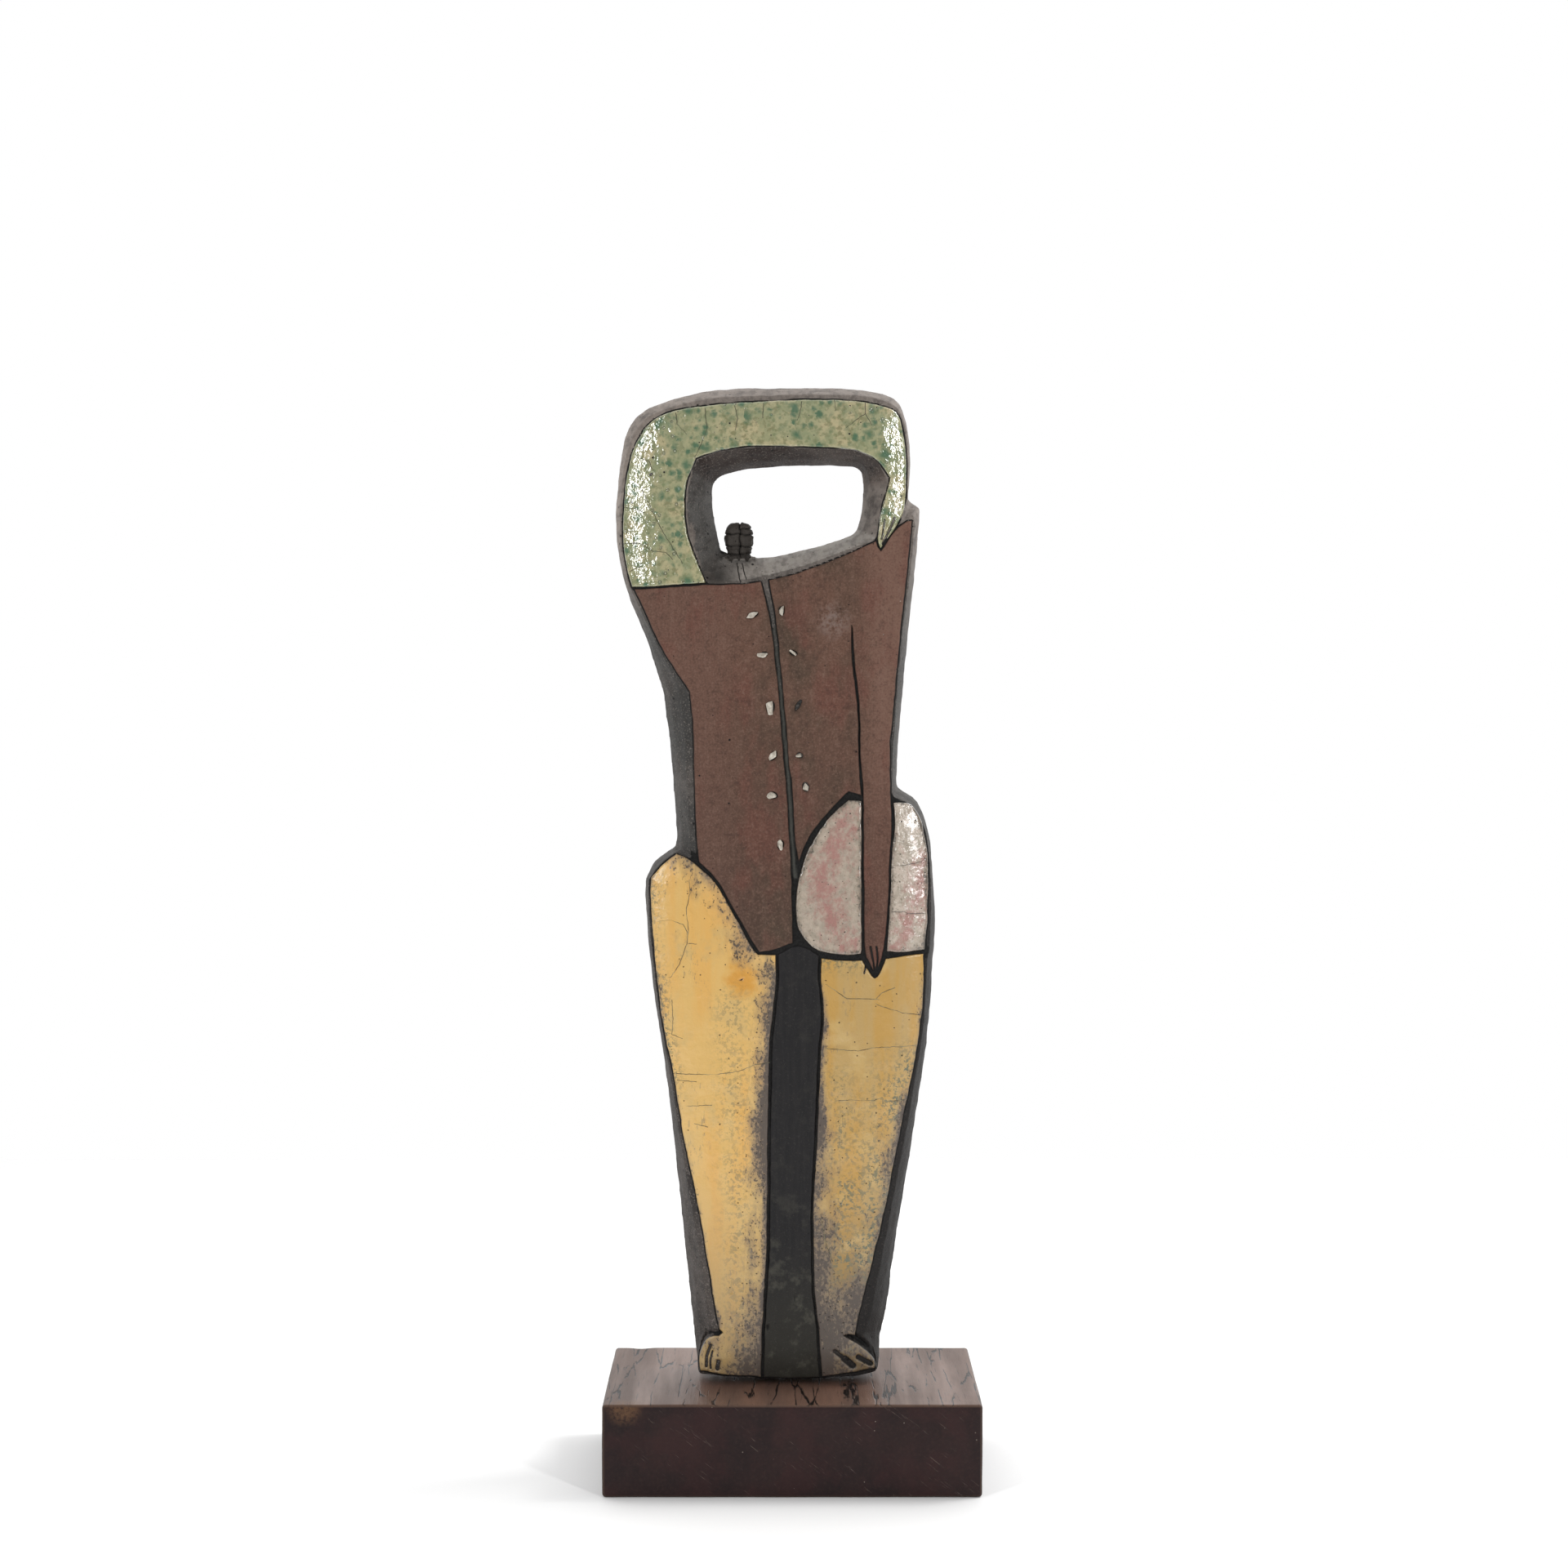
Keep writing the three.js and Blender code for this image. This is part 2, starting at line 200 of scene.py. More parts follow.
def pinholes(tree, place, spacing, radius, share):
    """Round pits: 1 inside a pit and 0 outside. Only a share of the cells holds one."""
    pattern = cells(tree, place, spacing)
    hole = ramped(tree, pattern.outputs["Distance"], radius / spacing, 0.5 * radius / spacing)
    luck = add(tree, "SeparateColor", {0: pattern.outputs["Color"]}).outputs[0]
    chosen = combined(tree, "LESS_THAN", luck, share)
    return combined(tree, "MULTIPLY", hole, chosen)


def painted(tree, surface, colour):
    tree.links.new(colour, surface.inputs["Base Color"])


def roughened(tree, surface, value):
    tree.links.new(value, surface.inputs["Roughness"])


print("scale of clouds one millimetre wide", round(1 / MM))

# %% [markdown]
# The clay is a dark stoneware with coarse grog. It was scraped smooth and fired in smoke, so it
# is matte, nearly black in hollows and ash grey where the smoke burnt off. Small pits are left
# where grains of grog were dragged out. The arch is a light brownish grey, the flanks below it
# are dark, and the right one is painted darker low down, as shade. The net blends by place and
# by cloudy noise, and the mesh carries values for the walls of the opening, with painted light
# and shade in it, and for the scored lines.

# %% Fired clay
def fired_clay():
    material, tree, surface = new_material("smoke_fired_clay", Specular_IOR_Level=0.3)
    place = place_on_piece(tree)
    height = add(tree, "SeparateXYZ", {0: place}).outputs[2]
    across = add(tree, "SeparateXYZ", {0: place}).outputs[0]
    body = mixed(tree, ramped(tree, height, 0.22, 0.34), "#332f2d", "#3b3a38")
    arch = mixed(tree, ramped(tree, across, -0.09, -0.02), "#92877e", "#7e756e")
    body = mixed(tree, ramped(tree, height, 0.42, 0.49), body, arch)
    # Inside the opening light and shade are painted: the right wall, which faces left, is painted lighter
    # than the left wall, the top, which faces down, is painted in shade, and the bottom, which faces up, is
    # painted lit.
    wall = mixed(tree, ramped(tree, across, 0.0, 0.045), "#5a5855", "#746860")
    body = mixed(tree, own_value(tree, "inner"), body, wall)
    body = mixed(tree, own_value(tree, "shaded_ceiling"), body, "#2b211d")
    body = mixed(tree, own_value(tree, "lit_sill"), body, "#aaa39b")
    ash = ramped(tree, cloudy(tree, place, 30, detail=5), 0.44, 0.7)
    body = mixed(tree, combined(tree, "MULTIPLY", ash, 0.25), body, "#857b74")
    stain = ramped(tree, cloudy(tree, place, 15, detail=4), 0.54, 0.7, 0, 0.6)
    body = mixed(tree, stain, body, "#2f2b29")
    drag = cloudy(tree, place_on_piece(tree, (1, 0.16, 1)), 3.2, detail=6)
    body = mixed(tree, ramped(tree, drag, 0.4, 0.7, 0, 0.45), body, "#2b2725")
    grain = cloudy(tree, place, 0.9, detail=4)
    body = mixed(tree, ramped(tree, grain, 0.5, 0.72, 0, 0.4), body, "#9a918a")
    # Low down the right flank is painted darker: this is painted shade.
    low_down = ramped(tree, height, 0.34, 0.24, 0, 0.75)
    painted_shade_right_low = combined(tree, "MULTIPLY", ramped(tree, across, 0.01, 0.03), low_down)
    body = mixed(tree, painted_shade_right_low, body, "#131212")
    body = mixed(tree, own_value(tree, "soot"), body, "#27231f")
    small_pits = pinholes(tree, place, 2.6, 0.45, 0.28)
    pits = combined(tree, "MAXIMUM", pinholes(tree, place, 5.5, 0.9, 0.4), small_pits)
    body = mixed(tree, combined(tree, "MULTIPLY", pits, 0.9), body, "#100e0d")
    cut_colour = mixed(tree, own_value(tree, "floor"), "#0c0b0a", "#43433e")
    body = mixed(tree, ramped(tree, own_value(tree, "gap"), 1.15, 0.85), body, cut_colour)
    painted(tree, surface, body)
    roughened(tree, surface, ramped(tree, grain, 0.3, 0.7, 0.6, 0.85))
    relief = bumped(tree, surface, combined(tree, "SUBTRACT", grain, pits), 0.4, 0.8)
    bumped(tree, surface, drag, 0.5, 0.7, relief)
    return material


clay = fired_clay()
print("made", clay.name)

# %% [markdown]
# The green glaze is a thick, glossy copper glaze with a skin like orange peel. Copper gathered in
# teal freckles two to five millimetres wide on a straw-coloured ground, and bubbles that burst
# late left small rings, each with a white spot in it that is a painted highlight. The relief is
# finer than any mesh here, so it comes from bump nodes.

# %% Copper green glaze
def warped(tree, place, size, amount):
    """A place pushed about by cloudy noise, in millimetres, so that straight patterns wander."""
    sockets = {"Vector": place, "Scale": 1 / (size * MM), "Detail": 3.0}
    push = add(tree, "TexNoise", sockets).outputs["Color"]
    centred = add(tree, "VectorMath", {0: push, 1: (0.5, 0.5, 0.5)}, operation="SUBTRACT").outputs[0]
    scaled = add(tree, "VectorMath", {0: centred, "Scale": amount * MM}, operation="SCALE").outputs[0]
    return add(tree, "VectorMath", {0: place, 1: scaled}).outputs[0]


def burst_bubbles(tree, place, spacing, radius, share):
    """Small craters left by bubbles: a dark ring, and a spot within it that is painted white as a
    highlight.
    """
    pattern = cells(tree, place, spacing)
    away = pattern.outputs["Distance"]
    near = combined(tree, "ABSOLUTE", combined(tree, "SUBTRACT", away, radius / spacing))
    luck = add(tree, "SeparateColor", {0: pattern.outputs["Color"]}).outputs[1]
    chosen = combined(tree, "LESS_THAN", luck, share)
    ring = combined(tree, "MULTIPLY", ramped(tree, near, 0.5 * radius / spacing, 0.0), chosen)
    middle = ramped(tree, away, 0.6 * radius / spacing, 0.1 * radius / spacing)
    highlight_dot = combined(tree, "MULTIPLY", middle, chosen)
    return ring, highlight_dot


def edge_smoke_and_hollow_shadow(tree, colour, reach=0.4, soot="#191613"):
    """Smoke along the edge of a coat, and darkness in its hollows: soot in cuts and holes, and painted
    shadow in the pits round the chips.
    """
    hollow_soot_and_shadow = ramped(tree, own_value(tree, "dip"), 0.35, 0.8)
    edge = ramped(tree, own_value(tree, "rim"), reach, 0.2 * reach)
    dark = combined(tree, "MAXIMUM", hollow_soot_and_shadow, combined(tree, "MULTIPLY", edge, 0.7))
    return mixed(tree, dark, colour, soot)


def freckles(tree, place, spacing, wander, softness=0.42):
    """Soft freckles of many sizes: the luck of a cell makes its freckle small or leaves it out."""
    pattern = cells(tree, warped(tree, place, spacing / 2, wander), spacing)
    luck = add(tree, "SeparateColor", {0: pattern.outputs["Color"]}).outputs[0]
    away = combined(tree, "ADD", pattern.outputs["Distance"], combined(tree, "MULTIPLY", luck, 0.42))
    return ramped(tree, away, 0.64, 0.64 - softness)


def green_glaze():
    material, tree, surface = new_material(
        "copper_green_glaze", IOR=1.6, Coat_Weight=1.0, Coat_Roughness=0.09
    )
    place = place_on_piece(tree)
    ground = mixed(tree, ramped(tree, cloudy(tree, place, 5, detail=6), 0.4, 0.62), "#beb28c", "#9f9f7a")
    blotch = ramped(tree, cloudy(tree, place, 2.8, detail=4, roughness=0.65), 0.48, 0.62, 0, 0.75)
    ground = mixed(tree, blotch, ground, "#84815d")
    bloom = ramped(tree, cloudy(tree, place, 17, detail=3), 0.4, 0.56)
    ground = mixed(tree, combined(tree, "MULTIPLY", bloom, 0.4), ground, "#899775")
    spots = combined(tree, "MAXIMUM", freckles(tree, place, 7.6, 5.5, 0.5), freckles(tree, place, 4.4, 3.4))
    spots = combined(tree, "MULTIPLY", spots, ramped(tree, bloom, 0.0, 0.6, 0.4, 1.0))
    glaze = mixed(tree, combined(tree, "MULTIPLY", spots, 0.92), ground, "#4f7057")
    glaze = mixed(tree, combined(tree, "MULTIPLY", freckles(tree, place, 2.3, 1.2), 0.5), glaze, "#6c7a54")
    ring, highlight_dot = burst_bubbles(tree, place, 5.2, 0.8, 0.42)
    glaze = mixed(tree, combined(tree, "MULTIPLY", ring, 0.65), glaze, "#5a6144")
    # The white spot in each ring is a painted highlight.
    glaze = mixed(tree, combined(tree, "MULTIPLY", highlight_dot, 0.7), glaze, "#dfe0cf")
    small_pits = pinholes(tree, place, 2.6, 0.42, 0.2)
    pits = combined(tree, "MAXIMUM", pinholes(tree, place, 5.4, 0.75, 0.3), small_pits)
    glaze = mixed(tree, pits, glaze, "#15120e")
    painted(tree, surface, edge_smoke_and_hollow_shadow(tree, glaze))
    peel = cloudy(tree, place, 2.0, detail=1.5)
    roughened(tree, surface, ramped(tree, cloudy(tree, place, 6), 0.3, 0.7, 0.1, 0.2))
    relief = bumped(tree, surface, peel, 0.3, 1.0)
    tree.links.new(relief, surface.inputs["Coat Normal"])
    hollows = combined(tree, "ADD", pits, ring)
    bumped(tree, surface, combined(tree, "SUBTRACT", highlight_dot, hollows), 0.3, 0.9, relief)
    return material


green = green_glaze()
print("made", green.name)

# %% [markdown]
# The legs carry a honey-yellow crackle glaze. It is brushed on, so it streaks from top to bottom,
# more orange where it is thick. Smoke crept under it along the inner edges and left grey clouds
# that break up into fine soot specks, and tiny pinholes let the black clay through.
# The mesh carries a value named smoke, because the clouds follow the edges of each leg.

# %% Honey yellow glaze
ORANGE_SPOT = (-0.025, -0.0222, 0.2525)


def smoked(tree, place, colour, soot, most=0.92):
    """Smoke where the mesh says so: a haze, then soot specks that run together as it thickens."""
    amount = own_value(tree, "smoke")
    specks = cloudy(tree, place_on_piece(tree, (1, 1, 0.75)), 1.6, detail=5, roughness=0.7)
    patches = cloudy(tree, place_on_piece(tree, (1, 1, 0.5)), 8, detail=5, roughness=0.65)
    broad = combined(tree, "MULTIPLY", patches, 2.2)
    uneven = combined(tree, "ADD", combined(tree, "MULTIPLY", specks, 4.4), broad)
    clean = ramped(tree, amount, 0.0, 0.3, 0.35, 0.0)
    average = combined(tree, "ADD", clean, 3.3)
    level = combined(tree, "ADD", amount, combined(tree, "SUBTRACT", uneven, average))
    cloud = combined(tree, "MULTIPLY", combined(tree, "SUBTRACT", patches, 0.5), 1.6)
    haze = ramped(tree, combined(tree, "ADD", amount, cloud), 0.15, 0.95, 0, 0.85)
    colour = mixed(tree, haze, colour, "#75675a")
    return mixed(tree, ramped(tree, level, 0.6, 1.05, 0, most), colour, soot)


def yellow_glaze():
    material, tree, surface = new_material("honey_yellow_glaze", IOR=1.55)
    place = place_on_piece(tree)
    across = add(tree, "SeparateXYZ", {0: place}).outputs[0]
    height = add(tree, "SeparateXYZ", {0: place}).outputs[2]
    streaks = cloudy(tree, place_on_piece(tree, (1, 1, 0.16)), 9, detail=3)
    honey = mixed(tree, ramped(tree, streaks, 0.42, 0.66), "#dab36e", "#dcad63")
    # The right leg and foot are painted darker than the left: partly their own tone, and partly painted
    # shade, because less light falls on the right leg.
    right = mixed(tree, ramped(tree, streaks, 0.4, 0.64), "#ba9b64", "#be9755")
    honey = mixed(tree, ramped(tree, across, -0.012, 0.016), honey, right)
    foot = mixed(tree, ramped(tree, across, -0.012, 0.016), "#a0875a", "#615232")
    honey = mixed(tree, ramped(tree, height, 0.17, 0.06, 0, 0.74), honey, foot)
    milky = ramped(tree, cloudy(tree, place, 14, detail=4), 0.5, 0.68, 0, 0.55)
    honey = mixed(tree, milky, honey, "#c8ab73")
    spot = add(tree, "VectorMath", {0: place, 1: ORANGE_SPOT}, operation="DISTANCE").outputs[1]
    orange = combined(tree, "ADD", spot, combined(tree, "MULTIPLY", cloudy(tree, place, 4), 0.012))
    honey = mixed(tree, ramped(tree, orange, 0.018, 0.009, 0, 0.8), honey, "#d0933a")
    ashen = own_value(tree, "ash")
    dots = ramped(tree, cloudy(tree, place, 1.9, detail=4, roughness=0.7), 0.49, 0.57)
    groups = ramped(tree, cloudy(tree, place, 9, detail=3), 0.38, 0.56, 0.4, 1.0)
    grouped = combined(tree, "MULTIPLY", dots, groups)
    honey = mixed(tree, combined(tree, "MULTIPLY", grouped, ashen), honey, "#686b57")
    honey = smoked(tree, place, honey, "#4f4640")
    worn = cloudy(tree, place_on_piece(tree, (1, 1, 0.35)), 1.7, detail=6, roughness=0.75)
    patchy = ramped(tree, cloudy(tree, place_on_piece(tree, (1, 1, 0.4)), 16, detail=2), 0.52, 0.62)
    flecks = combined(tree, "MULTIPLY", ramped(tree, worn, 0.54, 0.64), patchy)
    honey = mixed(tree, combined(tree, "MULTIPLY", flecks, 0.55), honey, "#6f6a60")
    holes = pinholes(tree, place, 4.6, 0.5, 0.22)
    crowd = combined(tree, "ADD", combined(tree, "MULTIPLY", own_value(tree, "smoke"), 0.6), 0.03)
    holes = combined(tree, "MAXIMUM", holes, pinholes(tree, place, 2.1, 0.42, crowd))
    honey = mixed(tree, combined(tree, "MULTIPLY", holes, 0.85), honey, "#2b241d")
    painted(tree, surface, edge_smoke_and_hollow_shadow(tree, honey))
    roughened(tree, surface, ramped(tree, own_value(tree, "smoke"), 0.1, 0.8, 0.24, 0.5))
    relief = bumped(tree, surface, cloudy(tree, place, 2.6, detail=2), 0.3, 0.6)
    bumped(tree, surface, holes, -0.5, 0.9, relief)
    return material


yellow = yellow_glaze()
print("made", yellow.name)

# %% [markdown]
# The hips have a greyish white glaze with rose stains, where iron and tin met in the kiln. It is
# nearly as glossy as the green, and smoke has dotted it with pinholes and darkened its border.
# The mesh carries a value named heart, which is high along the path of each hip's own stain.

# %% Rose white glaze
def rose_glaze():
    material, tree, surface = new_material(
        "rose_white_glaze", IOR=1.6, Coat_Weight=0.8, Coat_Roughness=0.12
    )
    place = place_on_piece(tree)
    across = add(tree, "SeparateXYZ", {0: place}).outputs[0]
    uneven = ramped(tree, cloudy(tree, place, 3.6, detail=6, roughness=0.65), 0.36, 0.66)
    ground = mixed(tree, uneven, "#b9aa9a", "#a49a8b")
    paler = mixed(tree, uneven, "#c9bbad", "#afa495")
    ground = mixed(tree, ramped(tree, across, 0.042, 0.048), ground, paler)
    stain = cloudy(tree, place_on_piece(tree, (1, 1, 0.75)), 5, detail=6, roughness=0.78)
    middle = combined(tree, "MULTIPLY", own_value(tree, "heart"), 0.15)
    stain = ramped(tree, combined(tree, "ADD", stain, middle), 0.52, 0.78, 0, 0.75)
    glaze = mixed(tree, stain, ground, "#a56e69")
    glaze = smoked(tree, place, glaze, "#57534c", 0.75)
    specks = ramped(tree, cloudy(tree, place, 1.2, detail=5, roughness=0.8), 0.54, 0.66, 0, 0.65)
    glaze = mixed(tree, specks, glaze, "#736c5c")
    small_holes = pinholes(tree, place, 1.8, 0.32, 0.16)
    holes = combined(tree, "MAXIMUM", pinholes(tree, place, 3.6, 0.48, 0.34), small_holes)
    glaze = mixed(tree, holes, glaze, "#1c1814")
    painted(tree, surface, edge_smoke_and_hollow_shadow(tree, glaze))
    roughened(tree, surface, ramped(tree, cloudy(tree, place, 6), 0.3, 0.7, 0.12, 0.24))
    relief = bumped(tree, surface, cloudy(tree, place, 2.2, detail=2), 0.45, 0.8)
    bumped(tree, surface, holes, -0.5, 0.9, relief)
    return material


rose = rose_glaze()
print("made", rose.name)

# %% [markdown]
# The jacket is a brown iron slip, a thin coat of coloured liquid clay brushed on and left matte.
# The brush ran up and down, so long faint streaks show. It turned olive in the middle and redder
# towards the arm. A few dark pits and white crumbs of grog stay in it.

# %% Brushed slips
PALE_SMUDGE = (0.0204, -0.0223, 0.4326)


def brown_slip():
    material, tree, surface = new_material("brushed_iron_slip", Specular_IOR_Level=0.25)
    place = place_on_piece(tree)
    across = add(tree, "SeparateXYZ", {0: place}).outputs[0]
    height = add(tree, "SeparateXYZ", {0: place}).outputs[2]
    slip = mixed(tree, ramped(tree, height, 0.27, 0.43), "#503b31", "#664a3d")
    slip = mixed(tree, ramped(tree, across, -0.02, -0.045, 0, 0.5), slip, "#6b4e43")
    sleeve = mixed(tree, ramped(tree, height, 0.3, 0.4), "#63463b", "#75574a")
    slip = mixed(tree, ramped(tree, across, 0.03, 0.045, 0, 0.9), slip, sleeve)
    olive = ramped(tree, cloudy(tree, place_on_piece(tree, (1, 1, 0.6)), 24, detail=5), 0.4, 0.6)
    off_middle = combined(tree, "ABSOLUTE", combined(tree, "SUBTRACT", across, 0.005))
    middle = ramped(tree, off_middle, 0.04, 0.005, 0, 0.85)
    slip = mixed(tree, combined(tree, "MULTIPLY", olive, middle), slip, "#4b3d31")
    redder = ramped(tree, cloudy(tree, place_on_piece(tree, (1, 1, 0.5)), 17, detail=4), 0.5, 0.68, 0, 0.6)
    slip = mixed(tree, redder, slip, "#6a4238")
    brush = cloudy(tree, place_on_piece(tree, (1, 1, 0.1)), 2.6, detail=6, roughness=0.7)
    slip = mixed(tree, ramped(tree, brush, 0.5, 0.72, 0, 0.16), slip, "#836a5e")
    slip = mixed(tree, ramped(tree, brush, 0.48, 0.3, 0, 0.2), slip, "#3a2b25")
    mottle = cloudy(tree, place, 3.4, detail=6, roughness=0.72)
    slip = mixed(tree, ramped(tree, mottle, 0.52, 0.68, 0, 0.34), slip, "#7d6255")
    slip = mixed(tree, ramped(tree, mottle, 0.48, 0.34, 0, 0.4), slip, "#3a2a24")
    grain = cloudy(tree, place, 1.0, detail=4, roughness=0.7)
    slip = mixed(tree, ramped(tree, grain, 0.5, 0.68, 0, 0.34), slip, "#866c5f")
    slip = mixed(tree, ramped(tree, grain, 0.5, 0.34, 0, 0.34), slip, "#35261f")
    smudge = add(tree, "VectorMath", {0: place, 1: PALE_SMUDGE}, operation="DISTANCE").outputs[1]
    smudge = combined(tree, "MULTIPLY", ramped(tree, smudge, 0.012, 0.002), ramped(tree, mottle, 0.4, 0.6))
    slip = mixed(tree, combined(tree, "MULTIPLY", smudge, 0.5), slip, "#8d7d76")
    crumbs = pinholes(tree, place, 9.0, 0.45, 0.22)
    slip = mixed(tree, crumbs, slip, "#a5978a")
    small_pits = pinholes(tree, place, 4, 0.4, 0.16)
    pits = combined(tree, "MAXIMUM", pinholes(tree, place, 8.0, 0.7, 0.22), small_pits)
    slip = mixed(tree, pits, slip, "#14100e")
    painted(tree, surface, edge_smoke_and_hollow_shadow(tree, slip, 0.45))
    roughened(tree, surface, ramped(tree, grain, 0.3, 0.7, 0.6, 0.8))
    relief = bumped(tree, surface, brush, 0.16, 0.5)
    relief = bumped(tree, surface, grain, 0.16, 0.6, relief)
    bumped(tree, surface, combined(tree, "SUBTRACT", crumbs, pits), 0.4, 0.9, relief)
    return material


def black_slip():
    material, tree, surface = new_material("matte_black_slip", Specular_IOR_Level=0.3)
    place = place_on_piece(tree)
    height = add(tree, "SeparateXYZ", {0: place}).outputs[2]
    brush = cloudy(tree, place_on_piece(tree, (1, 1, 0.08)), 2.4, detail=5, roughness=0.65)
    slip = mixed(tree, ramped(tree, brush, 0.35, 0.7), "#141315", "#1d1b1c")
    slip = mixed(tree, ramped(tree, height, 0.13, 0.055, 0, 0.7), slip, "#302e27")
    rubbed = ramped(tree, cloudy(tree, place, 9, detail=5, roughness=0.65), 0.5, 0.68)
    low = ramped(tree, height, 0.17, 0.06, 0.1, 0.7)
    slip = mixed(tree, combined(tree, "MULTIPLY", rubbed, low), slip, "#4d4b42")
    grain = cloudy(tree, place, 0.9, detail=4, roughness=0.7)
    slip = mixed(tree, ramped(tree, grain, 0.54, 0.72, 0, 0.3), slip, "#55514d")
    small_pits = pinholes(tree, place, 3, 0.3, 0.16)
    pits = combined(tree, "MAXIMUM", pinholes(tree, place, 7, 0.45, 0.2), small_pits)
    slip = mixed(tree, pits, slip, "#0b0a0a")
    painted(tree, surface, edge_smoke_and_hollow_shadow(tree, slip, 0.4, "#0d0c0c"))
    roughened(tree, surface, ramped(tree, grain, 0.3, 0.7, 0.5, 0.72))
    relief = bumped(tree, surface, brush, 0.18, 0.5)
    bumped(tree, surface, combined(tree, "SUBTRACT", grain, pits), 0.2, 0.7, relief)
    return material


brown = brown_slip()
black = black_slip()
print("made", brown.name, "and", black.name)

# %% [markdown]
# The face of the slab is not flat. It bows gently and falls away towards both sides, which is why
# the gloss gathers in two tall bands. Every coat lies on this bow, so its formula comes first,
# with helpers that read and write a mesh in millimetres.

# %% The bowed face
FACE_DEPTH = 22.5
FACE_ROLL = 4.5
FACE_SPAN = 78
FACE_TURNS = 3
FRONT = -1
BACK = 1
SHOULDER_DEPTH = 2.0
SHOULDER_REACH = 22
SHOULDER_CURVE = 2.5
PAST_RIM = 1.4
OUTER_RIM = [
    (-80.5, 449.6), (-84.9, 480), (-83.4, 500.8), (-80.6, 515), (-74, 528.5), (-62.9, 536.3),
    (-43.4, 539.8), (9.7, 542.8), (34.5, 541.8), (47.6, 538.7), (53.3, 534.6), (55.8, 523.7),
    (57, 510.7), (56.8, 494.1), (60, 484), (57.1, 453), (51.5, 396.7), (49.1, 368.1), (50.8, 343),
    (61.5, 338.5), (67.9, 319.2), (68.3, 287.1), (66.8, 266), (66.2, 247.1), (61.3, 207.5),
    (51.4, 158.8), (39.2, 103.7), (31.8, 71.6), (41.8, 57), (15.1, 50.5), (-32.2, 51.1), (-46.8, 54),
    (-37.5, 76.8), (-48.3, 141), (-59.6, 202.2), (-68.4, 254.9), (-71.4, 303.3), (-58.2, 315.6),
    (-47, 312), (-49.9, 381.2), (-51.5, 397.1), (-67.9, 423.7),
]


def face_at(x):
    """How far the bowed face lies from the middle of the slab, at a place across it."""
    return FACE_DEPTH - FACE_ROLL * np.abs(x / FACE_SPAN) ** FACE_TURNS


def take(obj):
    """Makes one object the only selected and the active one."""
    bpy.ops.object.select_all(action="DESELECT")
    obj.select_set(True)
    bpy.context.view_layer.objects.active = obj


def points_of(obj):
    flat = np.empty(len(obj.data.vertices) * 3, np.float32)
    obj.data.vertices.foreach_get("co", flat)
    return flat.reshape(-1, 3).astype(float) / MM


def set_points(obj, points):
    obj.data.vertices.foreach_set("co", (points * MM).astype(np.float32).ravel())
    obj.data.update()


def give_value(obj, name, values):
    """Stores a number at each point, which a material reads by its name."""
    layer = obj.data.attributes.new(name, "FLOAT", "POINT")
    layer.data.foreach_set("value", np.asarray(values, np.float32))


def modified(obj, kind, **settings):
    """Adds one modifier, sets its fields and applies it."""
    take(obj)
    bpy.ops.object.modifier_add(type=kind)
    modifier = obj.modifiers[-1]
    for name, value in settings.items():
        setattr(modifier, name, value)
    bpy.ops.object.modifier_apply(modifier=modifier.name)


def rippled(obj, size, height, layers=1):
    """Raises and lowers the skin by a cloud pattern of that size and height in millimetres."""
    texture = bpy.data.textures.new("ripple", "CLOUDS")
    texture.noise_scale = size * MM
    texture.noise_depth = layers
    modified(obj, "DISPLACE", texture=texture, texture_coords="LOCAL", strength=height * MM)


def finished(obj, material):
    """Smooth shading, its material and the body it rides on."""
    take(obj)
    bpy.ops.object.shade_smooth()
    obj.data.materials.clear()
    obj.data.materials.append(material)
    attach(obj, "root")
    print(obj.name, "has", sum(len(p.vertices) - 2 for p in obj.data.polygons), "triangles")


print("face depth in the middle and at the side", face_at(0), round(face_at(FACE_SPAN), 1))

# %% [markdown]
# Each coat of glaze or slip is a thin tile on the face, and the black lines of the drawing are
# the gaps between the tiles, where the clay was scored with a knife. So a coat starts as a drawn
# outline. The line a hand cuts is never quite even, so each outline wanders by a fraction of a
# millimetre. How far a point lies from an outline then says where a coat is rounded at its rim,
# where smoke gathered along it, and where the clay beside it is scored.

# %% Outlines and distances
OUTLINE_STEP = 2.4
SHARED_WAVE = 9
SHARED_WANDER = 0.3
OWN_WAVE = 3.3
OWN_WANDER = 0.2
COAT_PATHS = {FRONT: [], BACK: []}


def smooth_stretch(points):
    """Points along a smooth curve through given ones, without the last."""
    points = [Vector(p) for p in points]
    padded = [points[0], *points, points[-1]]
    path = []
    for before, start, end, after in zip(padded, padded[1:], padded[2:], padded[3:]):
        count = max(1, round((end - start).length / OUTLINE_STEP))
        for t in (i / count for i in range(count)):
            bend = 2 * before - 5 * start + 4 * end - after
            twist = 3 * start - before - 3 * end + after
            path.append((2 * start + (end - before) * t + bend * t ** 2 + twist * t ** 3) / 2)
    return path


def hand_cut(path, seed):
    """The wander of a knife line: one part that all coats share, and one of the coat's own."""
    cut = []
    for point in path:
        shared = noise.noise_vector(Vector((point.x / SHARED_WAVE, point.y / SHARED_WAVE, 0)))
        own = noise.noise_vector(Vector((point.x / OWN_WAVE, point.y / OWN_WAVE, 5 + seed)))
        cut.append(point + SHARED_WANDER * shared.xy + OWN_WANDER * own.xy)
    return cut


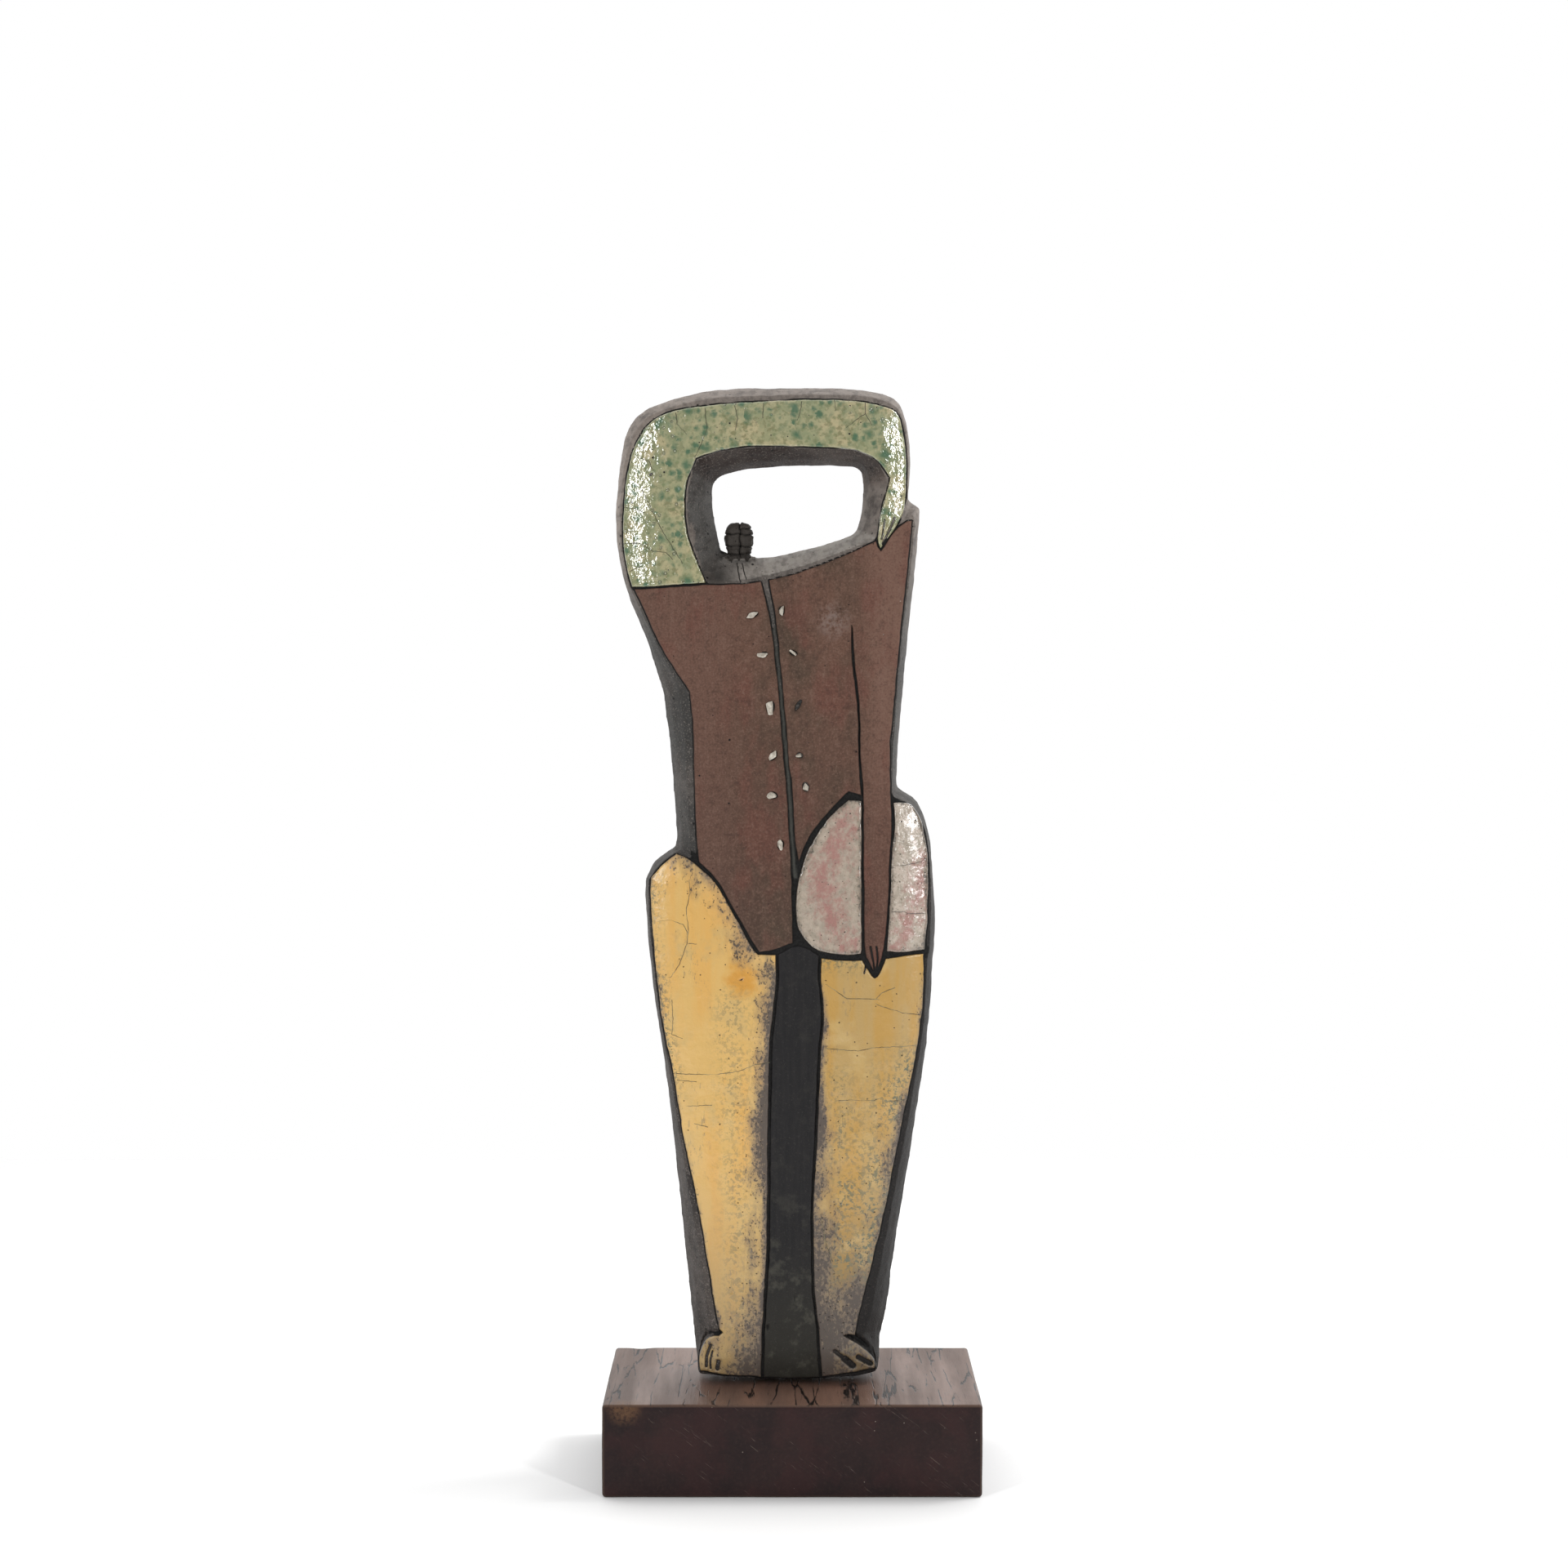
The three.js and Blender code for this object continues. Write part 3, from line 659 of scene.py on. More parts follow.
def distance_to_path(points, path, closed=False):
    """How far each point lies from a path drawn on the face, in millimetres."""
    x, z = points[:, 0], points[:, 2]
    ends = path[1:] + path[:1] if closed else path[1:]
    best = np.full(len(points), np.inf)
    for start, end in zip(path, ends):
        along = end - start
        share = ((x - start.x) * along.x + (z - start.y) * along.y) / max(along.length_squared, 1e-9)
        share = np.clip(share, 0, 1)
        gap = np.hypot(x - start.x - share * along.x, z - start.y - share * along.y)
        best = np.minimum(best, gap)
    return best


def is_inside(points, path):
    """Whether each point lies within a closed path, seen from the front."""
    x, z = points[:, 0], points[:, 2]
    within = np.zeros(len(points), bool)
    for start, end in zip(path, path[1:] + path[:1]):
        crosses = (start.y > z) != (end.y > z)
        rise = end.y - start.y
        at = start.x + (z - start.y) * (end.x - start.x) / (rise if abs(rise) > 1e-9 else 1e-9)
        within ^= crosses & (x < at)
    return within


def shoulder_drop(points):
    """How far the face falls away near its outer rim, where the clay was rounded by hand."""
    rim = [Vector(p) for p in OUTER_RIM]
    inward = distance_to_path(points, rim, closed=True) * np.where(is_inside(points, rim), 1, -1)
    return SHOULDER_DEPTH * np.clip(1 - inward / SHOULDER_REACH, 0, PAST_RIM) ** SHOULDER_CURVE


rim_point = np.array([(OUTER_RIM[0][0], 0, OUTER_RIM[0][1])])
print("face drop at the rim in mm", np.round(shoulder_drop(rim_point), 2))


# %% [markdown]
# A tile starts as a disc whose rim points are moved on to the drawn outline. It is bisected along
# a square grid, so that it can be subdivided evenly, laid on the bow, rounded at its rim, and
# given a wall and a bottom. A thickened copy of the clay's face would do too, but its triangles
# would not follow the outline, and the edge of the glaze would be jagged.

# %% A coat of glaze or slip
CELL = 5.0
WALL = 2.4
BURR_INSET = 1.3
BURR_WIDTH = 0.6
GROOVE_BREADTH = 1.3
PIT_BREADTH = 1.2


def cut_into_cells(plate, size, axes=(0, 2)):
    """Bisects a plate along a square grid, and its odd-shaped border cells into triangles."""
    points = points_of(plate)
    take(plate)
    bpy.ops.object.mode_set(mode="EDIT")
    for axis in axes:
        direction = [float(axis == i) for i in range(3)]
        for place in np.arange(points[:, axis].min() + size / 2, points[:, axis].max(), size):
            bpy.ops.mesh.select_all(action="SELECT")
            bpy.ops.mesh.bisect(plane_co=[MM * place * d for d in direction], plane_no=direction)
    bpy.ops.mesh.select_mode(type="FACE")
    bpy.ops.mesh.select_all(action="DESELECT")
    bpy.ops.mesh.select_face_by_sides(number=4, type="GREATER")
    bpy.ops.mesh.quads_convert_to_tris(ngon_method="BEAUTY")
    bpy.ops.object.mode_set(mode="OBJECT")


def groove_drop(points, grooves):
    """How deep hand-cut grooves run at each point. A groove is a path, its width and depth."""
    drop = np.zeros(len(points))
    for path, width, depth in grooves:
        near = distance_to_path(points, smooth_stretch(path) + [Vector(path[-1])])
        drop = np.maximum(drop, depth * np.clip(GROOVE_BREADTH - near / (width / 2), 0, 1))
    return drop


def pit_drop(points, pits):
    """How deep oval pits run. A pit is its place, half width, half height, lean and depth."""
    drop = np.zeros(len(points))
    for x, z, wide, high, lean, depth in pits:
        turn = math.radians(lean)
        right, up = points[:, 0] - x, points[:, 2] - z
        u = (right * math.cos(turn) + up * math.sin(turn)) / wide
        v = (up * math.cos(turn) - right * math.sin(turn)) / high
        drop = np.maximum(drop, depth * np.sqrt(np.clip(PIT_BREADTH - u * u - v * v, 0, 1)))
    return drop


def closed_shell(plate, side):
    """Pulls the border of a sheet down into a wall and fills the bottom with one face."""
    take(plate)
    bpy.ops.object.mode_set(mode="EDIT")
    bpy.ops.mesh.select_mode(type="EDGE")
    bpy.ops.mesh.select_all(action="DESELECT")
    bpy.ops.mesh.select_non_manifold()
    down = {"value": (0, -side * WALL * MM, 0)}
    bpy.ops.mesh.extrude_edges_move(TRANSFORM_OT_translate=down)
    bpy.ops.mesh.edge_face_add()
    bpy.ops.mesh.select_all(action="SELECT")
    bpy.ops.mesh.normals_make_consistent(inside=False)
    bpy.ops.object.mode_set(mode="OBJECT")


def coat(name, stretches, side=FRONT, levels=3, sunk=0.0, rim=0.9, burr=0.0, grooves=(), pits=()):
    """A tile of glaze or slip on the bowed face, with its outline given as smooth stretches."""
    path = hand_cut([p for stretch in stretches for p in smooth_stretch(stretch)], len(name))
    COAT_PATHS[side].append(path)
    bpy.ops.object.select_all(action="DESELECT")
    bpy.ops.mesh.primitive_circle_add(vertices=len(path), radius=FACE_SPAN * MM, fill_type="NGON")
    plate = bpy.context.object
    plate.name = plate.data.name = name
    set_points(plate, np.array([(p.x, side * FACE_DEPTH, p.y) for p in path]))
    cut_into_cells(plate, CELL)
    modified(plate, "SUBSURF", subdivision_type="SIMPLE", levels=levels, render_levels=levels)
    points = points_of(plate)
    edge = distance_to_path(points, path, closed=True)
    inward = np.clip(rim - edge, 0, rim)
    drop = rim - np.sqrt(rim ** 2 - inward ** 2)
    drop -= burr * np.exp(-((edge - BURR_INSET) / BURR_WIDTH) ** 2)
    drop += groove_drop(points, grooves) + pit_drop(points, pits)
    points[:, 1] = side * (face_at(points[:, 0]) - shoulder_drop(points) - sunk - drop)
    set_points(plate, points)
    give_value(plate, "rim", edge)
    give_value(plate, "dip", drop)
    return plate


print("outline step and grid cell in mm", OUTLINE_STEP, CELL)

# %% [markdown]
# The ten chips are splinters of white flint, pushed in as buttons while the clay was soft. The
# eleventh fell out and left its slot. Each sits in a pit whose dark is a painted shadow, set off
# to one side of the chip, so their sizes come before the jacket is made. A chip is an icosphere
# cut by planes, as flint breaks, then closed again with a convex hull and given worn edges.
# One chip is made per node, at the middle of that node's box.

# %% White flint chips
CHIP_DEPTH = 3.2
CHIPS = {
    "button_chip_left_1": (5.4, 2.4, 20),
    "button_chip_left_2": (4.6, 2.6, 18),
    "button_chip_left_3": (4.0, 6.4, -14),
    "button_chip_left_4": (2.8, 5.4, -32),
    "button_chip_left_5": (4.6, 3.4, -12),
    "button_chip_left_6": (3.2, 4.6, -12),
    "button_chip_right_1": (2.6, 4.4, 0),
    "button_chip_right_2": (4.2, 2.4, -20),
    "button_chip_right_4": (3.2, 2.4, -30),
    "button_chip_right_5": (3.2, 4.8, 8),
}
EMPTY_SLOT = (3.0, 390.4, 1.0, 2.9, -30, 2.2)
FLINT_FACETS = 12
PIT_ROOM = 0.25
PIT_DEPTH = 1.1
# The pit is set off to one side of its chip, so that its painted shadow shows there.
PIT_SHADOW_SHIFT = (0.45, 0.1)
CHIP_GROWN = 1.2
FACET_DEPTH = 0.5
FACET_SPREAD = 0.16
FRONT_KEPT = 0.25
WORN_EDGE = 0.12
SHARP_ANGLE = 28


def flint():
    material, tree, surface = new_material("white_flint", IOR=1.54)
    place = place_on_piece(tree)
    stone = mixed(tree, ramped(tree, cloudy(tree, place, 2.2, detail=5), 0.35, 0.68), "#d8d1c3", "#a59c8e")
    stone = mixed(tree, ramped(tree, cloudy(tree, place, 0.6), 0.55, 0.75, 0, 0.5), stone, "#766c60")
    painted(tree, surface, stone)
    roughened(tree, surface, ramped(tree, cloudy(tree, place, 1.2), 0.3, 0.7, 0.3, 0.55))
    bumped(tree, surface, cloudy(tree, place, 0.8), 0.2, 0.6)
    return material


def chip_middle(node):
    low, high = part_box(node)
    return [float(v) / MM for v in (low + high) / 2]


def flint_chip(node, seed):
    """One broken splinter in the place of a chip node."""
    wide, high, lean = CHIPS[node]
    wide, high = wide * CHIP_GROWN, high * CHIP_GROWN
    bpy.ops.object.select_all(action="DESELECT")
    bpy.ops.mesh.primitive_ico_sphere_add(subdivisions=4, radius=MM)
    chip = bpy.context.object
    chip.name = chip.data.name = node + "_flint"
    bpy.ops.object.mode_set(mode="EDIT")
    for facet in range(FLINT_FACETS):
        way = noise.noise_vector(Vector((facet + 0.5, seed + 0.5, 0.5))).normalized()
        spread = FACET_SPREAD * noise.noise(Vector((seed + 0.5, facet + 0.5, 0.5)))
        depth = FACET_DEPTH + spread + FRONT_KEPT * max(0, -way.y)
        bpy.ops.mesh.select_all(action="SELECT")
        bpy.ops.mesh.bisect(plane_co=way * depth * MM, plane_no=way, clear_outer=True)
    bpy.ops.mesh.select_all(action="SELECT")
    bpy.ops.mesh.convex_hull()
    bpy.ops.object.mode_set(mode="OBJECT")
    points = points_of(chip)
    low, top = points.min(axis=0), points.max(axis=0)
    points = (points - (low + top) / 2) / (top - low) * (wide, CHIP_DEPTH, high)
    turn = math.radians(lean)
    right = points[:, 0] * math.cos(turn) - points[:, 2] * math.sin(turn)
    up = points[:, 0] * math.sin(turn) + points[:, 2] * math.cos(turn)
    points[:, 0], points[:, 2] = right, up
    set_points(chip, points + chip_middle(node))
    modified(chip, "BEVEL", width=WORN_EDGE * MM, segments=1, limit_method="ANGLE")
    finished(chip, flint_stone)
    take(chip)
    bpy.ops.object.shade_smooth_by_angle(angle=math.radians(SHARP_ANGLE))
    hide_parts(node)


def chip_pits(side):
    """The pit around each chip on one side of the closing, shifted to the side where its painted shadow
    falls.
    """
    pits = []
    for node, (wide, high, lean) in CHIPS.items():
        if f"_{side}_" in node:
            x, _, z = chip_middle(node)
            x, z = x + PIT_SHADOW_SHIFT[0], z + PIT_SHADOW_SHIFT[1]
            pits.append((x, z, wide / 2 + PIT_ROOM, high / 2 + PIT_ROOM, lean, PIT_DEPTH))
    return pits


flint_stone = flint()
for seed, node in enumerate(CHIPS):
    flint_chip(node, seed)

# %% [markdown]
# Now the coats of the front, field by field from the top. The outlines are in millimetres across
# and up, read off the photograph through the camera above. A stretch is smooth, and two
# stretches meet in a corner. First the green arch, which ends in a hand with split fingers.

# %% Green arch
ARCH_OUTER = [
    (-80.5, 449.3), (-84, 464.5), (-84.9, 480), (-83.4, 500.8), (-80.6, 515), (-74, 528.5),
    (-62.9, 536.3), (-43.4, 539.8), (-24, 541.4), (9.7, 542.8), (34.5, 541.8), (47.6, 538.7),
    (53.3, 534.6), (55.8, 523.7), (57, 510.7), (56.8, 494.1),
]
HAND = [(56.8, 494.1), (56, 488.6), (52.2, 480), (48.1, 474.1), (44.3, 468.7)]
HAND_INNER = [(44.3, 468.7), (42.6, 473.7), (44.3, 487.5), (47.2, 496.7), (48.7, 503.8)]
HOLE_TOP = [
    (48.7, 503.8), (45.8, 508.3), (40.7, 513.5), (34.6, 516.4), (28.5, 517.9), (8.1, 519.1),
    (-12.2, 519.5), (-22.4, 519.5), (-37.7, 516.9), (-47.9, 513.5),
]
HOLE_LEFT = [
    (-47.9, 513.5), (-52, 503.8), (-53.4, 497.7), (-53.8, 489.6), (-53, 479.4),
    (-51, 471.3), (-47.9, 463.2), (-43.1, 451.5),
]
ARMPIT = [(-43.1, 451.5), (-60, 450.3), (-80.5, 449.3)]
FINGER_SPLITS = [
    ([(46.2, 483), (44.8, 473.3)], 1.0, 1.2),
    ([(51.2, 484), (48.4, 477.4), (45.2, 471)], 1.3, 1.3),
    ([(46.6, 495), (45.2, 488), (44.9, 482)], 0.7, 0.5),
]
GLAZE_PITS = [
    (-70.6, 505.6, 1.1, 0.8, 30, 1.2), (-53.5, 492.8, 0.6, 1.3, 10, 0.8),
    (-17.5, 531.5, 0.8, 0.4, 20, 0.7), (-26.0, 522.3, 0.7, 0.4, 0, 0.6),
    (-45.0, 523.6, 0.5, 0.8, 30, 0.6), (-7.0, 538.6, 0.7, 0.4, 0, 0.6),
]

arch = coat(
    "glaze_arch",
    [ARCH_OUTER, HAND, HAND_INNER, HOLE_TOP, HOLE_LEFT, ARMPIT],
    rim=1.0,
    grooves=FINGER_SPLITS,
    pits=GLAZE_PITS,
)
rippled(arch, 9, 0.5)
rippled(arch, 3.2, 0.22)
closed_shell(arch, FRONT)
finished(arch, green)

# %% [markdown]
# The jacket is two coats with the closing strip between them. The right one runs on into the
# hanging arm: a knife slit from the chest down sets the arm apart, and its fingers are scored.

# %% Brown jacket and hanging arm
NECK_LEFT = [(-79.2, 448.4), (-61.3, 449.3), (-42, 450.5), (-25.3, 450.9), (-15.7, 452)]
CLOSING_LEFT = [
    (-15.7, 452), (-11, 433), (-8.4, 412.2), (-6.6, 394.3), (-4.9, 371.4), (-2.9, 349.3),
    (-1.4, 323.1), (-0.2, 297.6), (0.4, 271.2),
]
HEM = [(0.4, 271.2), (-8.6, 267.8), (-16.4, 266.4)]
OVER_THIGH = [(-16.4, 266.4), (-20.1, 272.1), (-27.9, 285.3), (-37.3, 302.1), (-46.7, 311.5)]
FLANK_LEFT = [(-46.7, 311.5), (-48.1, 323), (-49.3, 359.1), (-49.9, 381.2), (-51.5, 397.1)]
UNDER_ARM = [(-51.5, 397.1), (-59.3, 409.4), (-67.9, 423.7), (-74.4, 438.4), (-79.2, 448.4)]

NECK_RIGHT = [
    (-11.6, 452.8), (-2.1, 455), (8.1, 458.2), (18.3, 462.1), (28.5, 466.2), (42, 472.3),
]
PAST_HAND = [(42, 472.3), (44.4, 467.6), (48.9, 474.3), (52.6, 479), (59.3, 483.7)]
FLANK_RIGHT = [
    (59.9, 482.7), (58.5, 468.3), (57.1, 453), (55.5, 439.6), (51.5, 396.7), (49.1, 368.1),
    (49.5, 342.7), (49.9, 332.8), (48.9, 310.3), (48.1, 290.5), (46.6, 273.3), (44.3, 261.3),
    (41.5, 256),
]
ARM_INNER = [
    (41.5, 256), (39, 260.6), (36.5, 268), (36.1, 297.2), (35.8, 334.5), (35.4, 350.9),
    (34.3, 363.2), (33.7, 387.7), (32.5, 400.4), (31, 413.4), (30.1, 430.6),
]
SLIT = [(29.7, 430.4), (30, 413.4), (31.5, 400.4), (32.7, 387.7), (33.4, 363.2), (34.7, 345.2)]
OVER_HIP = [
    (34.7, 345.2), (31.6, 346.2), (28.3, 347.2), (26.4, 345.4), (20.7, 339.5), (14.7, 332.9),
    (9.5, 326.4), (5.9, 318.6), (3.4, 311.6),
]
CLOSING_RIGHT = [
    (3.4, 311.6), (1.4, 323.1), (0, 349.3), (-1.6, 360.3), (-4.1, 391.8), (-6.1, 412.2),
    (-8.2, 433), (-11.6, 452.8),
]
FINGER_CUTS = [
    ([(39.4, 269), (40.6, 262.4), (41.6, 256)], 1.2, 1.4),
    ([(42.3, 269), (43, 263.2), (42.2, 257)], 1.2, 1.4),
]

jacket_left = coat(
    "slip_jacket_left",
    [NECK_LEFT, CLOSING_LEFT, HEM, OVER_THIGH, FLANK_LEFT, UNDER_ARM],
    rim=0.5,
    burr=0.12,
    pits=chip_pits("left"),
)
jacket_right = coat(
    "slip_jacket_right",
    [NECK_RIGHT, PAST_HAND, FLANK_RIGHT, ARM_INNER, SLIT, OVER_HIP, CLOSING_RIGHT],
    rim=0.5,
    burr=0.12,
    grooves=FINGER_CUTS,
    pits=[*chip_pits("right"), EMPTY_SLOT],
)
for half in (jacket_left, jacket_right):
    rippled(half, 16, 0.5)
    rippled(half, 4, 0.12)
    closed_shell(half, FRONT)
    finished(half, brown)

# %% [markdown]
# Two rose white fields show at the hips, left and right of the hanging arm. The wide gap above
# the left one is the thick black line of the drawing.

# %% Rose hips
HIP_LEFT = [
    [(28.4, 342.7), (34.9, 342.6)],
    [(34.9, 342.6), (35, 318.1), (35.1, 266)],
    [(34.6, 265.3), (23.8, 264.9), (14.8, 266.8), (8.6, 269.9), (4.1, 276.2), (2.3, 282.4),
     (1.8, 291), (2.9, 300.9), (5.7, 312), (11, 323.9), (17.2, 332.5), (22.9, 338.6), (28.4, 342.7)],
]
HIP_RIGHT = [
    [(50.8, 341.4), (51.4, 330.4), (50.1, 318.1), (49.5, 301.6), (48.6, 285.2), (47.4, 266.7)],
    [(47.4, 266.7), (57.5, 266), (67, 267.3)],
    [(67, 267.3), (68.3, 287.1), (68.5, 305.6), (67.9, 319.2), (64.8, 332.3), (61.5, 338.5),
     (57.8, 341.2), (50.8, 341.4)],
]
HIPS = {
    "glaze_hip_left": (HIP_LEFT, [(26, 330), (22, 316), (16, 303), (17, 291), (20, 284), (29, 270)], 15),
    "glaze_hip_right": (HIP_RIGHT, [(66, 312), (63, 290), (55, 272), (49, 266)], 11),
}


def smoke_along(points, path, reach, strength, low=0.0, high=600.0):
    """Smoke that thins out away from a path, between two heights in millimetres."""
    near = np.clip(1 - distance_to_path(points, [Vector(p) for p in path]) / reach, 0, 1)
    fade = 18
    band = np.clip((points[:, 2] - low) / fade, 0, 1) * np.clip((high - points[:, 2]) / fade, 0, 1)
    return strength * near * band


for name, (stretches, stained, reach) in HIPS.items():
    hip = coat(name, stretches, rim=1.0)
    border = [p for stretch in stretches for p in stretch]
    spots = points_of(hip)
    give_value(hip, "smoke", smoke_along(spots, border + border[:1], 3.5, 0.8))
    give_value(hip, "heart", smoke_along(spots, stained, reach, 1.3))
    rippled(hip, 9, 0.45)
    rippled(hip, 3, 0.16)
    closed_shell(hip, FRONT)
    finished(hip, rose)

# %% [markdown]
# The legs are two long yellow fields with the black strip between them. At the ankles a wide
# notch is cut in from each side, and short strokes mark the toes.

# %% Yellow legs
LEG_LEFT_TOP = [(-71.4, 303.3), (-64.8, 310.6), (-58.2, 315.6)]
THIGH = [
    (-58.2, 315.6), (-52.5, 313.3), (-46.9, 309.1), (-37.3, 299.6), (-27.9, 282.8), (-20.9, 270.1),
    (-17.2, 265),
]
LEG_LEFT_HEM = [(-17.2, 265), (-8.4, 265.2)]
LEG_LEFT_INNER = [
    (-8.4, 265.2), (-8.2, 252.4), (-9.4, 238), (-11.1, 222.3), (-11.7, 205.4), (-12.3, 169.8),
    (-12.5, 144.9), (-12.8, 117.5), (-14.2, 90.1), (-15.2, 69.3), (-15.7, 50.5),
]
SOLE_LEFT = [(-15.7, 50.5), (-32.2, 51.1), (-46.6, 53.2)]
FOOT_LEFT = [(-46.6, 53.2), (-47.3, 58.2), (-45.8, 64.9), (-41.7, 70.8), (-35.5, 71.5)]
ANKLE_LEFT = [(-35.5, 73.1), (-37, 74.4), (-37.5, 76.8)]
LEG_LEFT_OUTER = [
    (-37.5, 76.8), (-39.2, 87.1), (-43.7, 114.9), (-48.3, 141), (-54.3, 169.5), (-59.6, 202.2),
    (-64.8, 227.3), (-68.4, 254.9), (-71.3, 290.3), (-71.4, 303.3),
]
LEG_RIGHT_TOP = [(14.8, 263.1), (24.6, 262.2), (35.2, 262.4)]
FINGER_NOTCH = [(35.2, 262.4), (37.4, 258.6), (41.6, 253.2), (45.2, 258.2), (47, 263)]
LEG_RIGHT_HEM = [(47, 263), (55.4, 264.1), (66.2, 265.3)]
LEG_RIGHT_OUTER = [
    (66.2, 265.3), (66.2, 247.1), (64.6, 228.6), (61.3, 207.5), (56.6, 185.2), (51.4, 158.8),
    (45.3, 128.6), (39.2, 103.7), (34.3, 84.6), (31.8, 71.6),
]
ANKLE_RIGHT = [(31.8, 71.6), (28.9, 72.4), (26, 73.6)]
FOOT_RIGHT = [(26, 71.8), (33, 67.4), (38.4, 62.8), (41.7, 58.4), (41.9, 54.5)]
SOLE_RIGHT = [(41.9, 54.5), (28.9, 52.2), (15.1, 50.5)]
LEG_RIGHT_INNER = [
    (15.1, 50.5), (13.2, 76.4), (11.2, 96.8), (10.7, 138.3), (12.4, 169.8), (13.6, 198.7),
    (14.4, 218.2), (15.8, 232.6), (14.4, 252.4), (14.8, 263.1),
]
TOES_LEFT = [
    ([(-41.2, 66.4), (-43.2, 61), (-43.4, 55.8)], 1.6, 1.6),
    ([(-40.2, 63.6), (-41.4, 59), (-41.2, 54.8)], 1.1, 1.4),
    ([(-37.3, 58.4), (-37.8, 54.4)], 2.1, 1.6),
]
TOES_RIGHT = [
    ([(21.6, 63.8), (25.4, 60.6), (28, 58)], 2.0, 1.8),
    ([(26.6, 59.8), (30.6, 56.2)], 3.4, 2.0),
    ([(33.4, 60.6), (36.4, 58.8), (39.8, 57)], 2.6, 1.8),
    ([(37.2, 260), (36.2, 255.6)], 1.2, 1.2),
]
LEG_PITS = [
    (-25.6, 252.4, 1.3, 0.5, 20, 0.9), (-30.5, 93.8, 0.7, 0.4, 0, 0.6),
    (24.4, 139, 0.6, 0.9, 0, 0.7), (25.6, 118, 0.5, 1.2, -20, 0.6),
]

leg_left = coat(
    "glaze_leg_left",
    [LEG_LEFT_TOP, THIGH, LEG_LEFT_HEM, LEG_LEFT_INNER, SOLE_LEFT, FOOT_LEFT, ANKLE_LEFT, LEG_LEFT_OUTER],
    grooves=TOES_LEFT,
    pits=LEG_PITS,
)
leg_right = coat(
    "glaze_leg_right",
    [
        LEG_RIGHT_TOP, FINGER_NOTCH, LEG_RIGHT_HEM, LEG_RIGHT_OUTER, ANKLE_RIGHT, FOOT_RIGHT,
        SOLE_RIGHT, LEG_RIGHT_INNER,
    ],
    grooves=TOES_RIGHT,
    pits=LEG_PITS,
)
left = points_of(leg_left)
right = points_of(leg_right)
give_value(leg_left, "smoke", np.clip(
    smoke_along(left, LEG_LEFT_INNER, 13, 0.95, 150, 262)
    + smoke_along(left, LEG_LEFT_INNER, 18, 0.62, 30, 200)
    + smoke_along(left, LEG_LEFT_INNER, 3, 0.5, 30, 262)
    + smoke_along(left, THIGH, 17, 0.72)
    + smoke_along(left, [(-46, 50), (-16, 50)], 40, 0.7)
    + smoke_along(left, LEG_LEFT_OUTER, 3, 0.5), 0, 1.5))
give_value(leg_right, "smoke", np.clip(
    smoke_along(right, LEG_RIGHT_INNER, 17, 0.9, 40, 200)
    + smoke_along(right, LEG_RIGHT_INNER, 5, 0.8, 160, 262)
    + smoke_along(right, LEG_RIGHT_OUTER, 16, 0.6, 60, 200)
    + smoke_along(right, LEG_RIGHT_OUTER, 4, 0.6, 150, 262)
    + smoke_along(right, [(15, 50), (42, 54)], 75, 0.68), 0, 1.5))
give_value(leg_left, "ash", np.clip(
    smoke_along(left, LEG_LEFT_OUTER, 7, 1.2, 190, 310)
    + smoke_along(left, [(-30, 240), (-26, 60)], 14, 0.5), 0, 1))
give_value(leg_right, "ash", np.clip(
    smoke_along(right, LEG_RIGHT_OUTER, 26, 1.2, 60, 225)
    + smoke_along(right, LEG_RIGHT_TOP, 9, 0.7)
    + smoke_along(right, [(24, 200), (26, 60)], 12, 0.7), 0, 1))
for leg in (leg_left, leg_right):
    rippled(leg, 14, 0.5)
    rippled(leg, 4, 0.12)
    closed_shell(leg, FRONT)
    finished(leg, yellow)

# %% [markdown]
# The strip between the legs is black slip, laid a little lower than the glazes beside it.

# %% Black strip
STRIP_SUNK = 0.45
STRIP_TOP = [(-7.2, 265.4), (-3.3, 267.4), (0.4, 269.3), (3.7, 269.6), (8.2, 267.6), (13.3, 264.6)]
STRIP_RIGHT = [
    (13.3, 264.6), (13.3, 252.4), (14.8, 232.6), (13.4, 218.2), (12.5, 198.7), (11.3, 169.8),
    (9.7, 138.3), (10.1, 96.8), (12.2, 76.4), (13.9, 50.1),
]
STRIP_SOLE = [(13.9, 50.1), (0, 49.6), (-14.4, 50.1)]
STRIP_LEFT = [
    (-14.4, 50.1), (-14, 69.3), (-12.9, 90.1), (-11.5, 117.5), (-11.3, 144.9), (-11.1, 169.8),
    (-10.5, 205.4), (-9.8, 222.3), (-8.2, 238), (-7, 252.4), (-7.2, 265.4),
]
STRIP_PITS = [
    (1.4, 90.6, 0.4, 1.8, 0, 0.8), (2.2, 86.6, 0.8, 0.5, 0, 0.7), (-12.4, 76, 0.7, 1.6, 0, 0.8),
]

strip = coat(
    "slip_leg_strip",
    [STRIP_TOP, STRIP_RIGHT, STRIP_SOLE, STRIP_LEFT],
    sunk=STRIP_SUNK,
    rim=0.6,
    pits=STRIP_PITS,
)
rippled(strip, 12, 0.5)
closed_shell(strip, FRONT)
finished(strip, black)

# %% [markdown]
# When a glazed piece is pulled out of the kiln red-hot, its glaze cracks, and smoke stains the
# cracks. A pattern of noise could draw a fine net of them, but these few long ones have places
# of their own, so their paths are read off the photograph.

